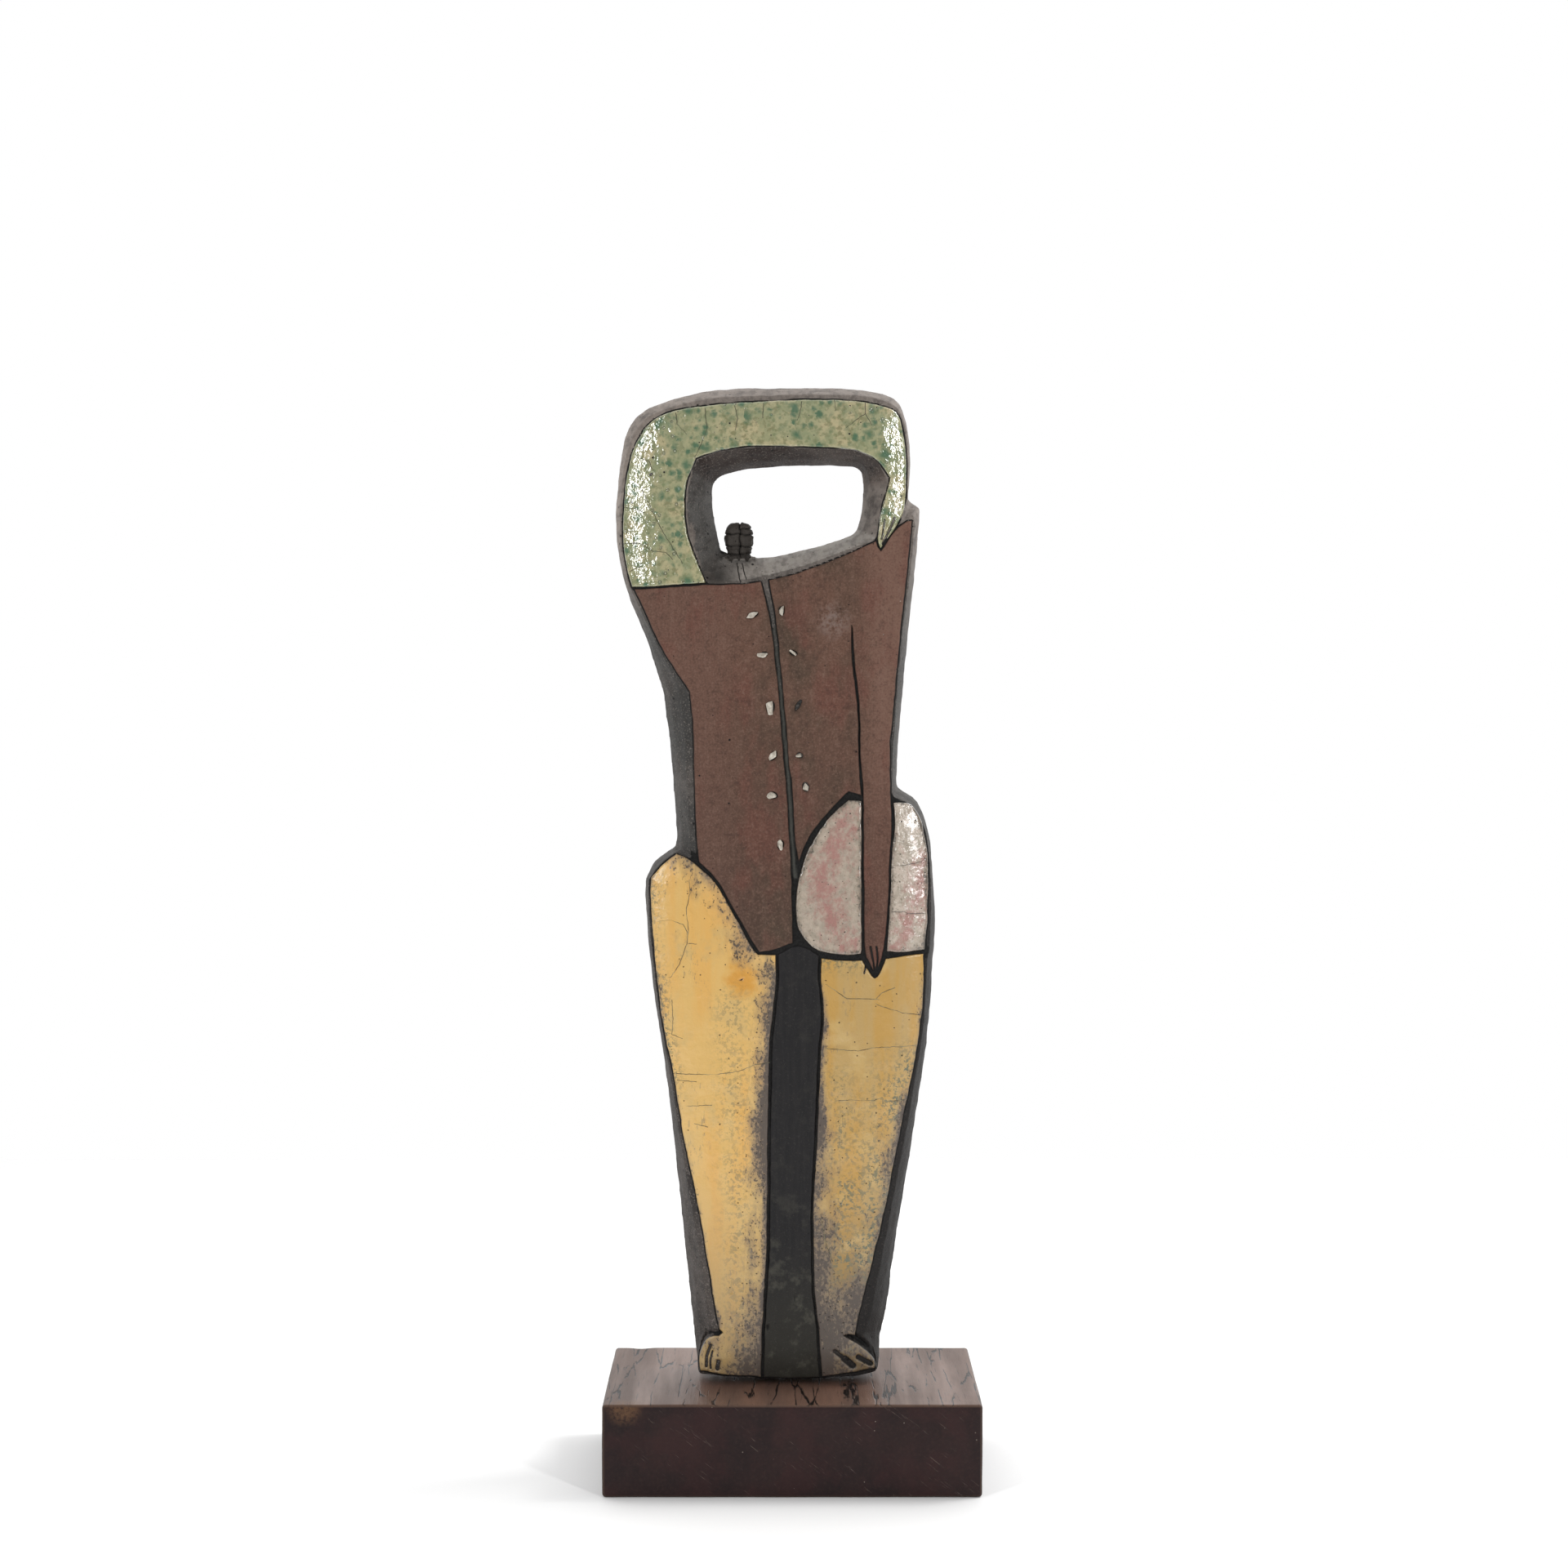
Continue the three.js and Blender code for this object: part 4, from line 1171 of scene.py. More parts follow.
# %% Where the cracks run
ARCH_CRACKS = [
    [(-43.6, 538.6), (-42.4, 528.1), (-45.6, 520), (-48.5, 513.9)],
    [(-58.2, 536.4), (-57.4, 530.5), (-52.6, 525.4)],
    [(-28.5, 539.6), (-27.3, 533.3), (-28.5, 527.2)],
    [(-14.3, 540.8), (-14.7, 533.3)],
    [(4.8, 542), (4, 536.1), (2.4, 532.1)],
    [(21.1, 542.4), (21.5, 537)],
    [(36.6, 541.4), (36.4, 535.8), (30.9, 531.7), (26.8, 528.5)],
    [(36.4, 535.8), (39.6, 530)],
    [(-75.1, 497.9), (-70.6, 488.9), (-66.1, 479.5), (-60.4, 470.1), (-54.7, 461.1)],
    [(-84.7, 471.1), (-79.7, 471.4), (-76.4, 471.2), (-69.4, 467.3), (-63.3, 466.9), (-59.6, 463)],
    [(-84, 489.4), (-78, 488.2), (-73.5, 486.5)],
    [(-81.4, 457.6), (-75.4, 459.8)],
    [(-76, 514), (-71.4, 512), (-69.4, 507.4)],
]
LEG_CRACKS = [
    [(-51.7, 302.9), (-51.3, 296.3), (-53.3, 287.2), (-52.2, 278.6), (-52.8, 270.8), (-56.7, 260),
     (-61.2, 253.4), (-67.8, 253.7)],
    [(-68.2, 281.7), (-61.2, 282.3), (-54.6, 280.2), (-52.2, 275.3)],
    [(-52.2, 270.8), (-48, 270.4)],
    [(-60.5, 242.2), (-60, 230.3), (-60.6, 224.5), (-55.1, 222.5)],
    [(-60.1, 204.6), (-38.2, 204.5), (-27.1, 206.2), (-18.5, 209.5), (-11.4, 210.7)],
    [(-58, 201.4), (-48.1, 200.7)],
    [(-53.5, 188.2), (-40.3, 189.1)],
    [(-49.4, 179.5), (-42.4, 177.9)],
    [(16.7, 250.3), (23.4, 245.8), (27.5, 242.9), (38.6, 242.8), (43.9, 242.4)],
    [(41.9, 242.4), (45.2, 245.7), (51.7, 248.5)],
    [(41.9, 240.3), (49.7, 237.4), (56.3, 235.3), (65, 234.3)],
    [(16.7, 217.7), (34.1, 216.5), (40.7, 218.1), (62.1, 218.7)],
    [(23.4, 191.3), (30, 191.7), (40.7, 191.2), (45.2, 192.8), (47.3, 190.7), (57, 191.4)],
    [(14.8, 131.2), (16.7, 120), (20.6, 109.6)],
]
HIP_CRACKS = [
    [(50.6, 309.9), (56.2, 309.8), (65.2, 311.8)],
    [(49.8, 286.4), (56.2, 286.4), (60.3, 285.5), (66.5, 285.5)],
]
print("cracks in green, yellow and rose", len(ARCH_CRACKS), len(LEG_CRACKS), len(HIP_CRACKS))

# %% [markdown]
# Each crack is a curve given a round section of a third of a millimetre, turned into a mesh and
# half sunk into its glaze. A groove cut in the glaze would need a far finer mesh for a line that
# is nearly flat. The curve wanders a little from side to side, as a crack does.

# %% Smoked cracks
CRACK_RADIUS = 0.15
CRACK_STEP = 0.7
CRACK_WAVE = 1.8
CRACK_WANDER = 0.35


def crack_stain(name, code):
    material, tree, surface = new_material(name, IOR=1.5, Roughness=0.5)
    place = place_on_piece(tree)
    stain = cloudy(tree, place, 3, detail=3)
    painted(tree, surface, mixed(tree, ramped(tree, stain, 0.35, 0.65), code, "#2a2620"))
    return material


def smoked_cracks(name, paths, material, radius=CRACK_RADIUS, ground=None):
    """All the cracks of one glaze as one mesh of thin round threads, on the face or on a piece."""
    curve = bpy.data.curves.new(name, "CURVE")
    curve.dimensions = "3D"
    curve.bevel_depth = radius * MM
    curve.bevel_resolution = 1
    curve.use_fill_caps = True
    for path in paths:
        smooth = [p for start, end in zip(path, path[1:]) for p in wandering(start, end)]
        smooth.append(Vector(path[-1]))
        spots = np.array([(p.x, 0, p.y) for p in smooth])
        depth = face_at(spots[:, 0]) - shoulder_drop(spots)
        if ground is not None:
            depth = [front_of(ground, spot) for spot in spots]
        spline = curve.splines.new("POLY")
        spline.points.add(len(smooth) - 1)
        for point, (x, _, z), y in zip(spline.points, spots, depth):
            point.co = (x * MM, -y * MM, z * MM, 1)
    threads = bpy.data.objects.new(name, curve)
    bpy.context.scene.collection.objects.link(threads)
    take(threads)
    bpy.ops.object.convert(target="MESH")
    threads = bpy.context.object
    threads.data.name = name
    finished(threads, material)


def front_of(piece, spot):
    """How far in front of the middle a piece's skin lies, straight behind a place on the face."""
    start = Vector((spot[0], -2 * FACE_DEPTH, spot[2])) * MM
    return -piece.ray_cast(start, Vector((0, 1, 0)))[1].y / MM


def wandering(start, end):
    """Steps along one stretch of a crack, each pushed a little to the side."""
    start, end = Vector(start), Vector(end)
    count = max(1, round((end - start).length / CRACK_STEP))
    steps = [start.lerp(end, i / count) for i in range(count)]
    pushes = [noise.noise_vector(Vector((p.x / CRACK_WAVE, p.y / CRACK_WAVE, 3))) for p in steps]
    return [p + CRACK_WANDER * push.xy for p, push in zip(steps, pushes)]


clay_cut = crack_stain("soot_in_clay", "#1a1614")
smoked_cracks("cracks_in_green", ARCH_CRACKS, crack_stain("soot_in_green", "#4a4733"))
smoked_cracks("cracks_in_yellow", LEG_CRACKS, crack_stain("soot_in_yellow", "#8b8566"))
smoked_cracks("cracks_in_rose", HIP_CRACKS, crack_stain("soot_in_rose", "#5f5a50"))

# %% [markdown]
# The photograph hides the back, so it is finished in the same slips and glazes, but plainer: it
# has no chips and no closing, and the only lines are those that part arm, jacket and legs.

# %% Plainer coats on the back
BACK_LEVELS = 2
ARCH_END = [(56.8, 494.1), (55.6, 487.6), (53, 481.7), (43.4, 474.4)]
ARCH_END_INNER = [(43.4, 474.4), (44.3, 487.5), (47.2, 496.7), (48.7, 503.8)]
BACK_NECK = [(-79.2, 448.4), (-61.3, 449.3), (-42, 450.5)]
BACK_SILL = [(-42, 450.5), (-25.3, 450.7), (-11, 453.4), (8, 458.6), (28.5, 466.2), (42, 472)]
BACK_SHOULDER = [(43.6, 472.8), (53, 479.4), (59.5, 483.4)]
BACK_FLANK = [*FLANK_RIGHT[:6], (49.2, 344.2)]
BACK_HIP = [(49.2, 344.2), (57, 341), (61, 337), (66, 325.4), (68, 309.8), (68.2, 289.2), (67, 268.4)]
BACK_HEM = [(67, 268.4), (36, 266.4), (4, 264.6), (-14, 268.6), (-33, 292), (-46.7, 311.5)]
BACK_THIGH = [(-58.2, 315.6), (-47.6, 307.6), (-35, 287.4), (-15.5, 263), (-9.4, 262.6)]
BACK_LEG_TOP = [(15.6, 260), (36, 261.6), (66.2, 263.6)]
BACK_STRIP_TOP = [(-8, 260.6), (3, 260), (14.2, 259)]

BACK_COATS = {
    "back_glaze_arch": (
        [ARCH_OUTER, ARCH_END, ARCH_END_INNER, HOLE_TOP, HOLE_LEFT, ARMPIT],
        {"rim": 1.0}, green, "green_glaze", None,
    ),
    "back_slip_jacket": (
        [BACK_NECK, BACK_SILL, BACK_SHOULDER, BACK_FLANK, BACK_HIP, BACK_HEM, FLANK_LEFT, UNDER_ARM],
        {"rim": 0.5, "burr": 0.12}, brown, "brown_slip", None,
    ),
    "back_glaze_leg_left": (
        [LEG_LEFT_TOP, BACK_THIGH, LEG_LEFT_INNER, SOLE_LEFT, FOOT_LEFT, ANKLE_LEFT, LEG_LEFT_OUTER],
        {}, yellow, "yellow_glaze", LEG_LEFT_INNER,
    ),
    "back_glaze_leg_right": (
        [BACK_LEG_TOP, LEG_RIGHT_OUTER, ANKLE_RIGHT, FOOT_RIGHT, SOLE_RIGHT, LEG_RIGHT_INNER],
        {}, yellow, "yellow_glaze", LEG_RIGHT_INNER,
    ),
    "back_slip_leg_strip": (
        [BACK_STRIP_TOP, STRIP_RIGHT[1:], STRIP_SOLE, STRIP_LEFT[:-1]],
        {"sunk": STRIP_SUNK, "rim": 0.6}, black, "black_slip", None,
    ),
}

for name, (stretches, edge, material, slot, smoked_edge) in BACK_COATS.items():
    piece = coat(name, stretches, side=BACK, levels=BACK_LEVELS, **edge)
    if smoked_edge:
        spots = points_of(piece)
        cloud = smoke_along(spots, smoked_edge, 14, 1.0, 40, 240)
        give_value(piece, "ash", smoke_along(spots, smoked_edge, 30, 0.8, 40, 240))
        give_value(piece, "smoke", cloud + smoke_along(spots, SOLE_LEFT + SOLE_RIGHT, 30, 0.7))
    rippled(piece, 12, 0.5)
    closed_shell(piece, BACK)
    finished(piece, material)

# %% [markdown]
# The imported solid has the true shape, but its mesh is loose triangles, so it is left as it is and
# a copy of it is merged to be worked on. Whatever is done to a piece after that, it has to stay
# inside the box of the node that it stands for.

# %% Working on a copy
def loose_copy(node, name):
    """A merged copy of a CAD node that is free to be changed."""
    take(frame["nodes"][node])
    bpy.ops.object.duplicate()
    piece = bpy.context.object
    bpy.ops.object.parent_clear(type="CLEAR_KEEP_TRANSFORM")
    for key in list(piece.keys()):
        del piece[key]
    piece.name = piece.data.name = name
    bpy.ops.object.mode_set(mode="EDIT")
    bpy.ops.mesh.select_all(action="SELECT")
    bpy.ops.mesh.remove_doubles(threshold=0.01 * MM)
    bpy.ops.object.mode_set(mode="OBJECT")
    return piece


def normals_of(obj):
    flat = np.empty(len(obj.data.vertices) * 3, np.float32)
    obj.data.vertices.foreach_get("normal", flat)
    return flat.reshape(-1, 3)


def held_in_box(obj, node):
    """Keeps every point inside the box of the node that the piece stands for."""
    low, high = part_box(node)
    set_points(obj, np.clip(points_of(obj), np.array(low) / MM, np.array(high) / MM))


print("loose points of the packed figure", len(points_of(frame["nodes"]["figure"])))

# %% [markdown]
# The lines of the drawing were scored with a knife, and smoke blackened them. On the clay they lie
# close to the edge of one coat, or between two. The black of a line is narrow above the chest and
# wide below it. Well inside a coat the clay is never seen, so its triangles are thinned out there.

# %% Scored lines and hidden faces
LINE_DEPTH = 1.0
CUT_REACH = 0.6
CHANNEL_REACH = 4.4
NARROW_REACH = 1.4
NARROW_ABOVE = 400
SHOULDER_TIP = (57, 484)
SHOULDER_BARE = 9
UNSEEN_MARGIN = 3.0
KEPT_SHARE = 0.06
OFF_LINE = 2.0
FAR_OFF = 9
FACING_OUT = 0.9


def gap_share(points):
    """Under 1 in a scored line: close to the edge of one coat, or between two coats."""
    share = np.full(len(points), OFF_LINE)
    for side in (FRONT, BACK):
        here = np.flatnonzero(side * points[:, 1] > 0)
        gaps = [distance_to_path(points[here], path, closed=True) for path in COAT_PATHS[side]]
        first, second = np.sort(gaps, axis=0)[:2]
        spots = points[here]
        from_tip = np.hypot(spots[:, 0] - SHOULDER_TIP[0], spots[:, 2] - SHOULDER_TIP[1])
        second[from_tip < SHOULDER_BARE] = FAR_OFF
        reach = np.where(spots[:, 2] > NARROW_ABOVE, NARROW_REACH, CHANNEL_REACH)
        share[here] = np.minimum(first / CUT_REACH, second / reach)
    return share


def thinned_under_coats(obj):
    """Thins out the triangles of both faces that lie well inside a coat."""
    points, normals = points_of(obj), normals_of(obj)
    unseen = np.zeros(len(points), bool)
    for side in (FRONT, BACK):
        faces_out = side * normals[:, 1] > FACING_OUT
        at_face = side * points[:, 1] > face_at(points[:, 0]) - 2 * LINE_DEPTH
        on_face = np.flatnonzero(faces_out & at_face)
        for path in COAT_PATHS[side]:
            spots = points[on_face]
            deep = is_inside(spots, path) & (distance_to_path(spots, path, closed=True) > UNSEEN_MARGIN)
            unseen[on_face[deep]] = True
    take(obj)
    bpy.ops.object.mode_set(mode="EDIT")
    bpy.ops.mesh.select_mode(type="VERT")
    bpy.ops.mesh.select_all(action="DESELECT")
    bpy.ops.object.mode_set(mode="OBJECT")
    obj.data.vertices.foreach_set("select", unseen)
    bpy.ops.object.mode_set(mode="EDIT")
    bpy.ops.mesh.decimate(ratio=KEPT_SHARE)
    bpy.ops.object.mode_set(mode="OBJECT")
    print("unseen points thinned", int(unseen.sum()), "of", len(points))


print("reach across a line in mm, high and low", NARROW_REACH, CHANNEL_REACH)

# %% [markdown]
# The clay body carries all the coats. Its shape is the CAD solid, but a solid from CAD has edges
# that clay can't keep. So a copy is voxel remeshed, which rounds every edge by about a
# millimetre, its faces are pressed down to the floor of the scored lines, and its skin is rippled
# like clay that was beaten with a paddle. Values on the mesh tell its material where the scored
# lines, the walls of the opening and the soot are, and where light and shade are painted in the
# opening. Only the jacket's closing has a grey floor.

# %% Clay body
VOXEL = 1.2
HOLE_RIM = [
    (-47.9, 514), (-37.5, 518), (0, 519.6), (30, 518), (41, 513.5), (49, 504), (47.2, 496), (44, 478),
    (42.5, 472.6), (28.5, 467), (8, 459), (-11, 453), (-25, 451), (-43, 451.5), (-51, 470), (-54, 490),
]
DENTS = [
    (-24, 4, 550, 3.4, 1.6), (20.5, -8, 549, 3.0, 1.4), (-85, 6, 527, 4, 1.2), (63, 2, 488, 4, -0.6),
    (-89, -4, 470, 5, 0.7), (-61, -14, 352, 5, 0.8), (-72, -13, 268, 5, 0.8), (70, -10, 300, 6, 0.7),
    (-50, -12, 150, 6, 0.8), (64, -12, 190, 6, 0.7),
]
HEAD_MIDDLE = (-26.8, -3, 463)
NECK_LINES = [
    [(-27.7, 461.6), (-26.9, 456.2), (-25.7, 450.6)],
    [(-25.3, 461.6), (-24.2, 457.6), (-22.9, 453.2)],
]
NECK_LINE_RADIUS = 0.26
HEAD_TOP = (-26.8, -3, 477)
BLOTCH = (-39, -18, 453)
HEAD_SHRUNK = (0.55, 0.55, 0.75)
ANKLE_CUTS = [
    ([(-35.4, 72.6), (-38.5, 73), (-42.6, 71.6), (-46, 66.8), (-47.8, 60), (-47.6, 54)], 2.2, 2.4),
    ([(24.6, 74.4), (28, 72.6), (33.6, 69.2), (38.6, 64.6), (42.4, 58)], 3.0, 2.6),
]
ANKLE_DARK = 1.6
CLOSING_MIDDLE = [
    (-13.6, 452.4), (-9.6, 433), (-7.2, 412.2), (-5.2, 392), (-1.6, 349), (-0.1, 323), (1.4, 304),
]
SCORED_FACING = 0.7
SCORED_DEEP = 4.5
ANKLE_DEEP = 5
HEAD_ROOM = (8.6, 9.5, 12)
FACE_BAND = 4
CLOSING_BREADTH = 1.6
CLOSING_EDGE = 0.6
SILL_START = -36
SILL_FADE = 12
SOOT_REACH = 12
SOOT_SHARE = 0.7


body = loose_copy("figure", "figure_body")
modified(body, "REMESH", mode="VOXEL", voxel_size=VOXEL * MM)
points = points_of(body)
limit = face_at(points[:, 0]) - shoulder_drop(points) - LINE_DEPTH
points[:, 1] = np.clip(points[:, 1], -limit, limit)
in_head = (np.abs(points - HEAD_TOP) < HEAD_ROOM).all(axis=1)
points[in_head] = (points[in_head] - HEAD_MIDDLE) * HEAD_SHRUNK + HEAD_MIDDLE
on_face = np.abs(points[:, 1]) > limit - FACE_BAND
points[:, 1] -= np.sign(points[:, 1]) * on_face * groove_drop(points, ANKLE_CUTS)
set_points(body, points)
thinned_under_coats(body)
points, normals = points_of(body), normals_of(body)
for x, y, z, radius, depth in DENTS:
    near = np.clip(1 - np.linalg.norm(points - (x, y, z), axis=1) / radius, 0, 1)
    points -= normals * (depth * near ** 2)[:, None]
set_points(body, points)
depth_below = face_at(points[:, 0]) - shoulder_drop(points) - np.abs(points[:, 1])
ankle = groove_drop(points, ANKLE_CUTS) > ANKLE_DARK
in_line = (np.abs(normals[:, 1]) > SCORED_FACING) & (depth_below < SCORED_DEEP)
scored = in_line | ankle & (depth_below < ANKLE_DEEP)
inner = is_inside(points, [Vector(p) for p in HOLE_RIM])
closing = distance_to_path(points, [Vector(p) for p in CLOSING_MIDDLE])
closing_floor = np.clip(CLOSING_BREADTH - closing / CLOSING_EDGE, 0, 1)
give_value(body, "floor", closing_floor * (points[:, 1] < 0))
give_value(body, "gap", np.where(scored, np.where(ankle, 0, gap_share(points)), OFF_LINE))
give_value(body, "inner", inner & ~scored)
# The top of the opening is marked for painted shade, and its bottom for painted light from the head
# rightwards, with painted shade to the left of the head.
give_value(body, "shaded_ceiling", inner * ~scored * np.clip(-2 * normals[:, 2], 0, 1))
faces_up = np.clip(2 * normals[:, 2], 0, 1)
lit_past_head = np.clip((points[:, 0] - SILL_START) / SILL_FADE, 0, 1)
give_value(body, "lit_sill", inner * ~scored * faces_up * lit_past_head)
sooty = [
    np.clip(1.2 - np.linalg.norm(points - spot, axis=1) / SOOT_REACH, 0, 1)
    for spot in (HEAD_MIDDLE, BLOTCH)
]
give_value(body, "soot", SOOT_SHARE * np.maximum(*sooty))
rippled(body, 13, 0.7)
rippled(body, 4.5, 0.4)
held_in_box(body, "figure")
finished(body, clay)
smoked_cracks("neck_lines", NECK_LINES, clay_cut, NECK_LINE_RADIUS, body)
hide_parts("figure")

# %% [markdown]
# The small head is a plain lump of the same clay, squared with a tool, with creases around it and
# one line down its front and back. It has no features. The creases differ on the left and the
# right, and a ragged collar runs around its foot. A cube is subdivided and its points are
# rounded towards a superellipsoid, which gives the soft block that fingers press.

# %% Small head
HEAD_HALF = (7.0, 7.4, 10.2)
HEAD_BLOCK = 3.6
HEAD_SUNK = 1.2
HEAD_PROFILE = [
    (0, 1.2), (1.6, 1.1), (2.6, 0.86), (5, 0.85), (7.4, 0.98), (12.8, 1.04), (15.4, 1.0), (19, 0.98),
]
CREASES_LEFT = [(2.8, 1.0), (7.2, 0.8), (13.2, 1.0)]
CREASES_RIGHT = [(3.4, 1.0), (6.9, 1.2), (13.0, 1.3), (16.0, 1.1)]
CREASE_WIDTH = 0.5
CREASE_WAVER = 0.7
CREASE_SPREAD = 7
LUMP_SIZE = 2.6
LUMP_SHARE = 0.08
COLLAR_HIGH = 1.6
PARTING_DEPTH = 1.2
PARTING_SIDE = 0.5
PARTING_WIDTH = 0.5
TOP_NOTCH = 0.9
HEAD_SOOT = 0.84
CREASE_DARK = 1.15

bpy.ops.object.select_all(action="DESELECT")
bpy.ops.mesh.primitive_cube_add(size=2 * MM)
head = bpy.context.object
head.name = head.data.name = "small_head"
modified(head, "SUBSURF", subdivision_type="SIMPLE", levels=6, render_levels=6)
points = points_of(head)
size = (np.abs(points) ** HEAD_BLOCK).sum(axis=1) ** (1 / HEAD_BLOCK)
points = points / size[:, None] * HEAD_HALF
height = points[:, 2] + HEAD_HALF[2] - HEAD_SUNK
lump = np.array([noise.noise(Vector(p) / LUMP_SIZE) for p in points])
waist = np.interp(height, *zip(*HEAD_PROFILE)) + LUMP_SHARE * lump
crease_dark = np.zeros(len(points))
for creases, side in ((CREASES_LEFT, points[:, 0] < 0), (CREASES_RIGHT, points[:, 0] >= 0)):
    for crease, depth in creases:
        waver = [CREASE_WAVER * noise.noise(Vector((p[0] / 3, p[1] / 3, crease))) for p in points]
        cut = side * np.exp(-((height - crease - waver) / CREASE_WIDTH) ** 2)
        waist -= depth / CREASE_SPREAD * cut
        crease_dark = np.maximum(crease_dark, cut)
angle = np.arctan2(points[:, 1], points[:, 0])
spikes = np.array([noise.noise(Vector((4 * math.cos(a), 4 * math.sin(a), 0.5))) for a in angle])
waist += np.clip(spikes, -0.1, 0.6) * np.clip(1.4 - height / COLLAR_HIGH, 0, 1)
points[:, :2] *= waist[:, None]
off_line = points[:, 0] - PARTING_SIDE - 0.3 * np.sin(height)
parting = np.exp(-(off_line / PARTING_WIDTH) ** 2) * np.clip(height / 2, 0, 1)
points[:, 1] -= np.sign(points[:, 1]) * PARTING_DEPTH * parting * (np.abs(points[:, 1]) > 3)
points[:, 2] -= TOP_NOTCH * parting * (height > 16) + 0.5 * lump * (height > 14)
set_points(head, points + HEAD_MIDDLE + np.array((0, 0, HEAD_HALF[2] - HEAD_SUNK)))
give_value(head, "soot", np.full(len(points), HEAD_SOOT))
give_value(head, "gap", OFF_LINE - CREASE_DARK * np.maximum(crease_dark, parting))
rippled(head, 2.4, 0.4, 2)
finished(head, clay)

# %% [markdown]
# The plinth is a sawn block of dark hardwood, planed, dyed and waxed. The grain runs from front to
# back, so drying checks run along its top, and the front is end grain: dark and matte, with fine
# light scratches that slant across it. The top is painted lighter than the front: partly because
# end grain takes more dye, and partly as painted light on the top and painted shade on the front.
# One corner is rubbed to orange-brown. Fibres are noise drawn out along the grain, and the mesh
# says which points lie on the top.

# %% Waxed wood
RUBBED_CORNER = (-0.083, -0.059, 0.045)
SCRATCH_LEAN = 52


def waxed_wood():
    material, tree, surface = new_material("dark_waxed_wood", IOR=1.48, Specular_IOR_Level=0.2)
    place = place_on_piece(tree)
    fibre = cloudy(tree, place_on_piece(tree, (1, 0.06, 1)), 1.6, detail=6, roughness=0.7)
    bands = cloudy(tree, place_on_piece(tree, (1, 0.1, 0.6)), 15, detail=4)
    # The front and the top get two tones of one wood: the darker front is partly end grain and partly
    # painted shade, and the lighter top is partly painted light.
    front = mixed(tree, ramped(tree, bands, 0.36, 0.66), "#281a1a", "#211617")
    top = mixed(tree, ramped(tree, bands, 0.36, 0.66), "#6c5245", "#57443b")
    wood = mixed(tree, own_value(tree, "top"), front, top)
    front_share = combined(tree, "SUBTRACT", 1.0, own_value(tree, "top"))
    grained = ramped(tree, own_value(tree, "top"), 0, 1, 0.3, 1)
    light_fibre = combined(tree, "MULTIPLY", ramped(tree, fibre, 0.46, 0.7, 0, 0.4), grained)
    dark_fibre = combined(tree, "MULTIPLY", ramped(tree, fibre, 0.44, 0.28, 0, 0.7), grained)
    wood = mixed(tree, light_fibre, wood, "#4f3b30")
    wood = mixed(tree, dark_fibre, wood, "#140f0e")
    along = warped(tree, place_on_piece(tree, (1, 0.09, 1)), 2.2, 2.4)
    split = cells(tree, along, 9, feature="DISTANCE_TO_EDGE").outputs["Distance"]
    checks = ramped(tree, split, 0.036, 0.01)
    broken = ramped(tree, cloudy(tree, place_on_piece(tree, (1, 0.25, 1)), 9, detail=3), 0.45, 0.52)
    checks = combined(tree, "MULTIPLY", combined(tree, "MULTIPLY", checks, broken), own_value(tree, "top"))
    wood = mixed(tree, checks, wood, "#120d0b")
    turned = place_on_piece(tree, turn=(0, math.radians(SCRATCH_LEAN), 0))
    scratch_place = add(tree, "Mapping", {"Vector": turned, "Scale": (1, 1, 0.06)}).outputs[0]
    scratches = ramped(tree, cloudy(tree, scratch_place, 0.9, detail=4, roughness=0.7), 0.62, 0.7)
    scuffed = ramped(tree, cloudy(tree, place, 16, detail=3), 0.44, 0.6)
    scratches = combined(tree, "MULTIPLY", scratches, scuffed)
    wood = mixed(tree, combined(tree, "MULTIPLY", scratches, 0.4), wood, "#7b6c62")
    reddish = ramped(tree, cloudy(tree, place, 18, detail=4), 0.4, 0.66, 0, 0.35)
    wood = mixed(tree, combined(tree, "MULTIPLY", reddish, front_share), wood, "#3a1f1f")
    specks = pinholes(tree, place, 5, 0.4, 0.2)
    wood = mixed(tree, combined(tree, "MULTIPLY", specks, 0.4), wood, "#a09489")
    corner = add(tree, "VectorMath", {0: place, 1: RUBBED_CORNER}, operation="DISTANCE").outputs[1]
    rubbed = ramped(tree, corner, 0.011, 0.003)
    worn = combined(tree, "MULTIPLY", rubbed, ramped(tree, fibre, 0.3, 0.6, 0, 0.7))
    wood = mixed(tree, worn, wood, "#6a4d36")
    wood = mixed(tree, ramped(tree, own_value(tree, "edge"), 0.2, 1.0, 0, 0.5), wood, "#4b3a30")
    painted(tree, surface, wood)
    roughened(tree, surface, ramped(tree, bands, 0.3, 0.7, 0.34, 0.5))
    relief = bumped(tree, surface, combined(tree, "SUBTRACT", fibre, checks), 0.3, 0.6)
    bumped(tree, surface, scratches, 0.15, 0.5, relief)
    return material


wood = waxed_wood()
print("made", wood.name)

# %% [markdown]
# The block's edges were eased with sandpaper, its faces keep the slow ripple of a hand plane, and
# its top edge has a small nick at the back. A cube at the size of its node is bevelled, then cut
# into cells, because a ripple needs points all over the faces and not just at the corners.

# %% Wooden plinth
PLINTH_EDGE = 1.7
PLINTH_CELL = 4.0
PLINTH_TRIM = 0.2
NICK = (-80, 60, 46.4)
NICK_SQUEEZE = (0.5, 1, 1)
NICK_REACH = 4
NICK_DEPTH = 1.4
FLAT_FACING = 0.97

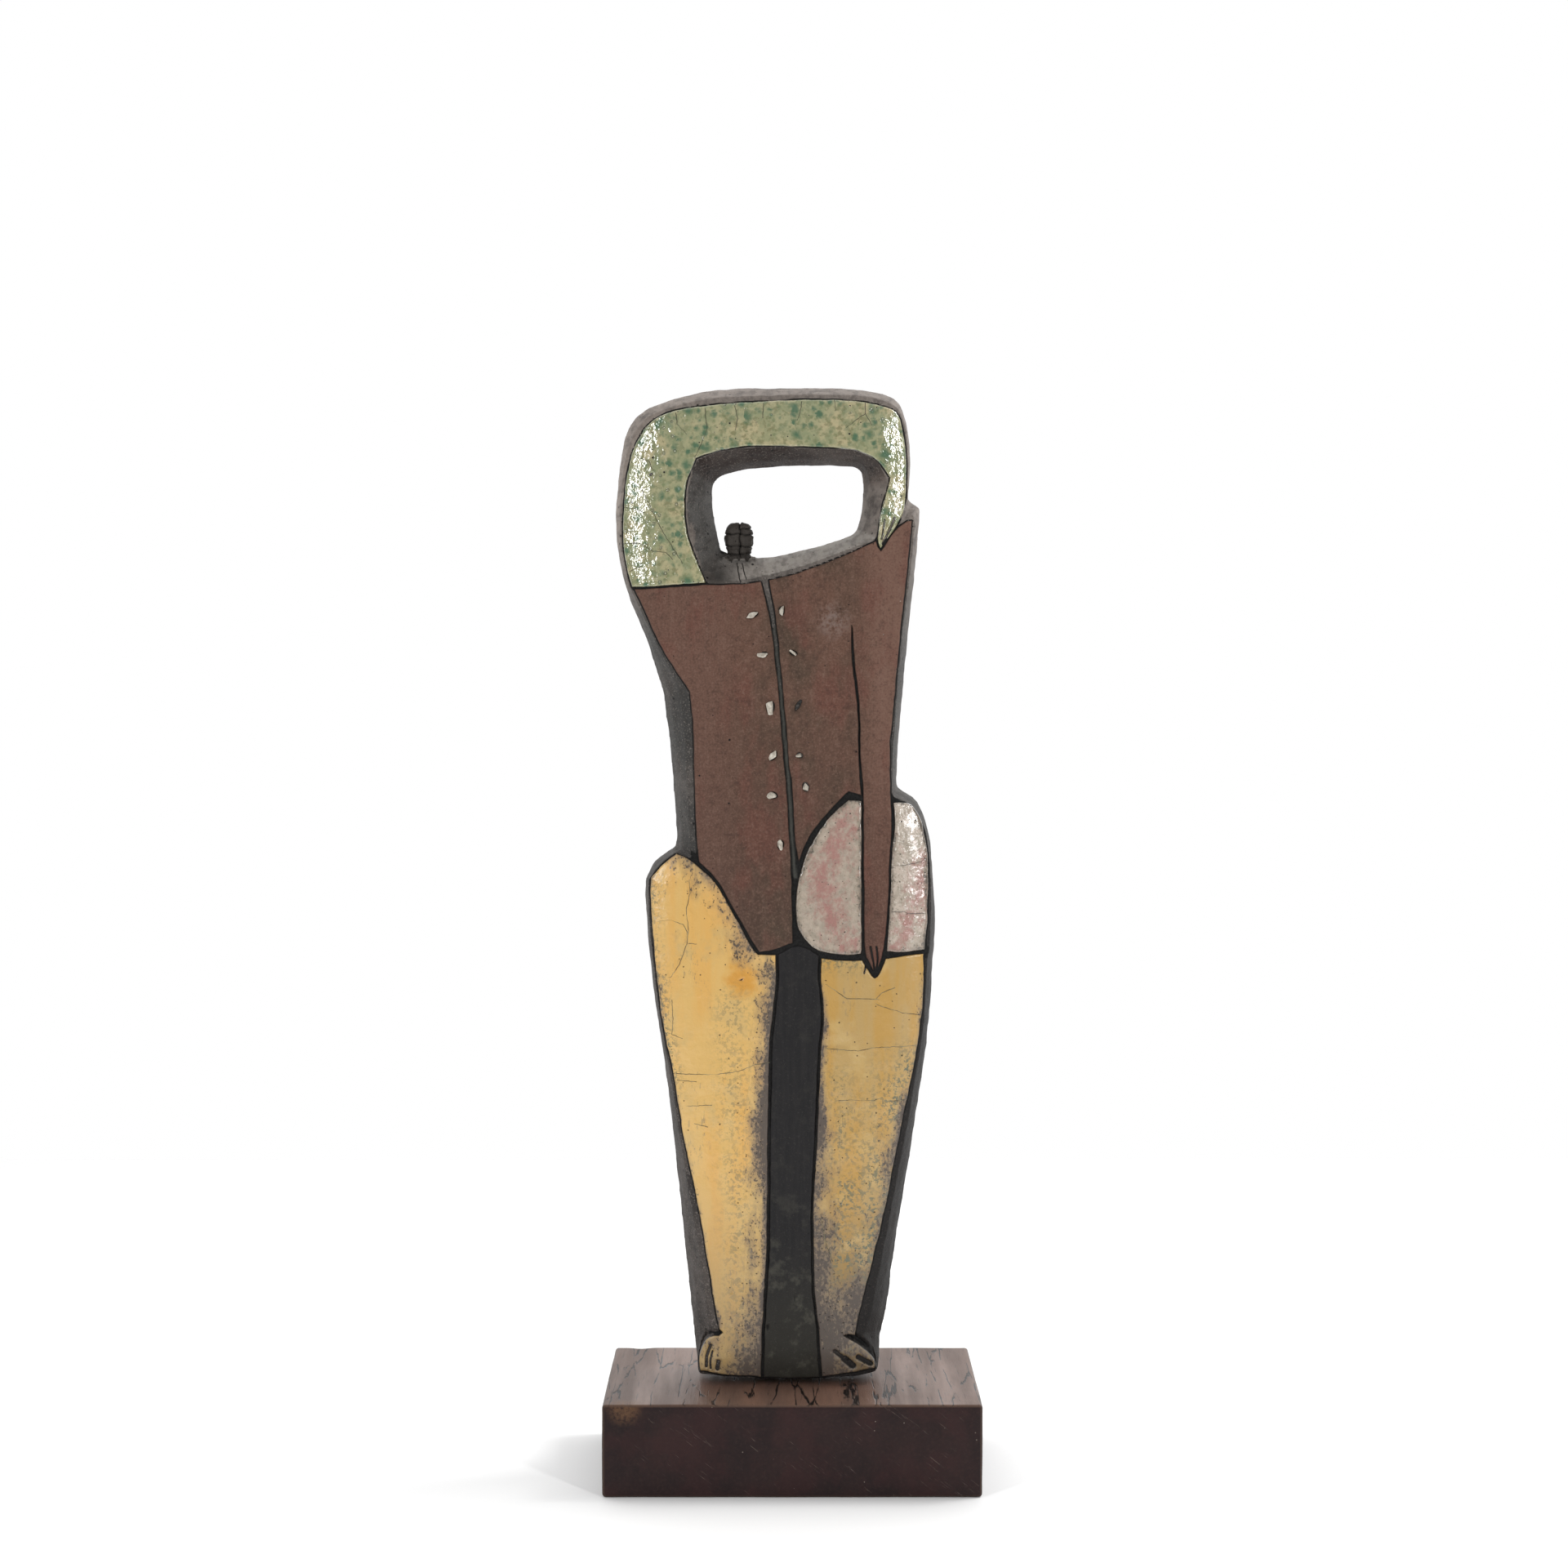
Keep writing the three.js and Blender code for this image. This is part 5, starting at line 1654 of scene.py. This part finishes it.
low, high = (np.array(corner, float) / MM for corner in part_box("plinth"))
bpy.ops.object.select_all(action="DESELECT")
bpy.ops.mesh.primitive_cube_add(size=MM)
plinth = bpy.context.object
plinth.name = plinth.data.name = "wooden_plinth"
set_points(plinth, points_of(plinth) * (high - low - PLINTH_TRIM) + (low + high) / 2)
modified(plinth, "BEVEL", width=PLINTH_EDGE * MM, segments=4)
cut_into_cells(plinth, PLINTH_CELL, axes=(0, 1, 2))
modified(plinth, "SUBSURF", subdivision_type="SIMPLE", levels=1, render_levels=1)
points, normals = points_of(plinth), normals_of(plinth)
away = np.linalg.norm((points - NICK) * NICK_SQUEEZE, axis=1)
near = np.clip(1 - away / NICK_REACH, 0, 1)
points -= normals * (NICK_DEPTH * near ** 2)[:, None]
set_points(plinth, points)
give_value(plinth, "edge", (np.abs(normals).max(axis=1) < FLAT_FACING).astype(float))
give_value(plinth, "top", np.clip(2 * normals[:, 2] - 0.6, 0, 1))
rippled(plinth, 34, 0.4)
rippled(plinth, 6, 0.08)
held_in_box(plinth, "plinth")
finished(plinth, wood)
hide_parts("plinth")

# %% [markdown]
# The floor is a white sheet that the light burns out to paper white, with only soft shadows
# beside the plinth. Two tall narrow soft boxes stand left and right of the camera: they draw the
# two tall bands of gloss. A square one, high at the right and a little behind, lights the floor
# and the top of the plinth. The room gives even light, brighter from behind and above, because
# the white sheet stood up behind the figure.

# %% Floor and light
FLOOR_SIDE = 1.8
AIM = Vector((0, 0, 0.28))
TALL_BOX = (0.1, 0.9)
SQUARE_BOX = (0.5, 0.5)
LAMPS = {
    "soft_box_left": ((-1.08, -1.3, 0.72), TALL_BOX, 8.3),
    "soft_box_right": ((0.9, -1.38, 0.7), TALL_BOX, 9.2),
    "side_box": ((1.05, 0.28, 1.55), SQUARE_BOX, 12),
}
GLOW_IN_FRONT = 0.1
GLOW_BEHIND = 1.5
GLOW_ABOVE = 0.5
WHITE_PAPER = 1.0

paper, paper_tree, paper_surface = new_material("white_paper_sweep", Specular_IOR_Level=0.1)
paper_surface.inputs["Roughness"].default_value = 0.9
grain = cloudy(paper_tree, place_on_piece(paper_tree), 2, detail=2)
painted(paper_tree, paper_surface, mixed(paper_tree, grain, "#eeeeee", "#f1f1f1"))
bpy.ops.object.select_all(action="DESELECT")
bpy.ops.mesh.primitive_plane_add(size=FLOOR_SIDE)
floor = bpy.context.object
floor.name = floor.data.name = "paper_floor"
floor.data.materials.append(paper)


def soft_box(name, place, size, power):
    """A rectangle of light that faces the figure, with its place and size in metres."""
    bpy.ops.object.select_all(action="DESELECT")
    bpy.ops.object.light_add(type="AREA", location=place)
    lamp = bpy.context.object
    lamp.name = name
    lamp.rotation_euler = (AIM - Vector(place)).to_track_quat("-Z", "Y").to_euler()
    lamp.data.shape = "RECTANGLE"
    lamp.data.size, lamp.data.size_y = size
    lamp.data.energy = power


for name, (place, size, power) in LAMPS.items():
    soft_box(name, place, size, power)

world = bpy.data.worlds.new("white_room")
bpy.context.scene.world = world
world.use_nodes = True
room = world.node_tree
ray = add(room, "LightPath")
way = add(room, "SeparateXYZ", {0: add(room, "TexCoord").outputs["Generated"]})
glow = ramped(room, way.outputs[1], -0.5, 0.8, GLOW_IN_FRONT, GLOW_BEHIND)
above = combined(room, "MULTIPLY", ramped(room, way.outputs[2], 0.2, 1.0), GLOW_ABOVE)
glow = combined(room, "ADD", glow, above)
seen = add(room, "Mix", {0: ray.outputs["Is Camera Ray"], 2: glow, 3: WHITE_PAPER}).outputs[0]
room.links.new(seen, room.nodes["Background"].inputs["Strength"])
room.nodes["Background"].inputs["Color"].default_value = (1, 1, 1, 1)
bpy.context.scene.view_settings.view_transform = "Standard"
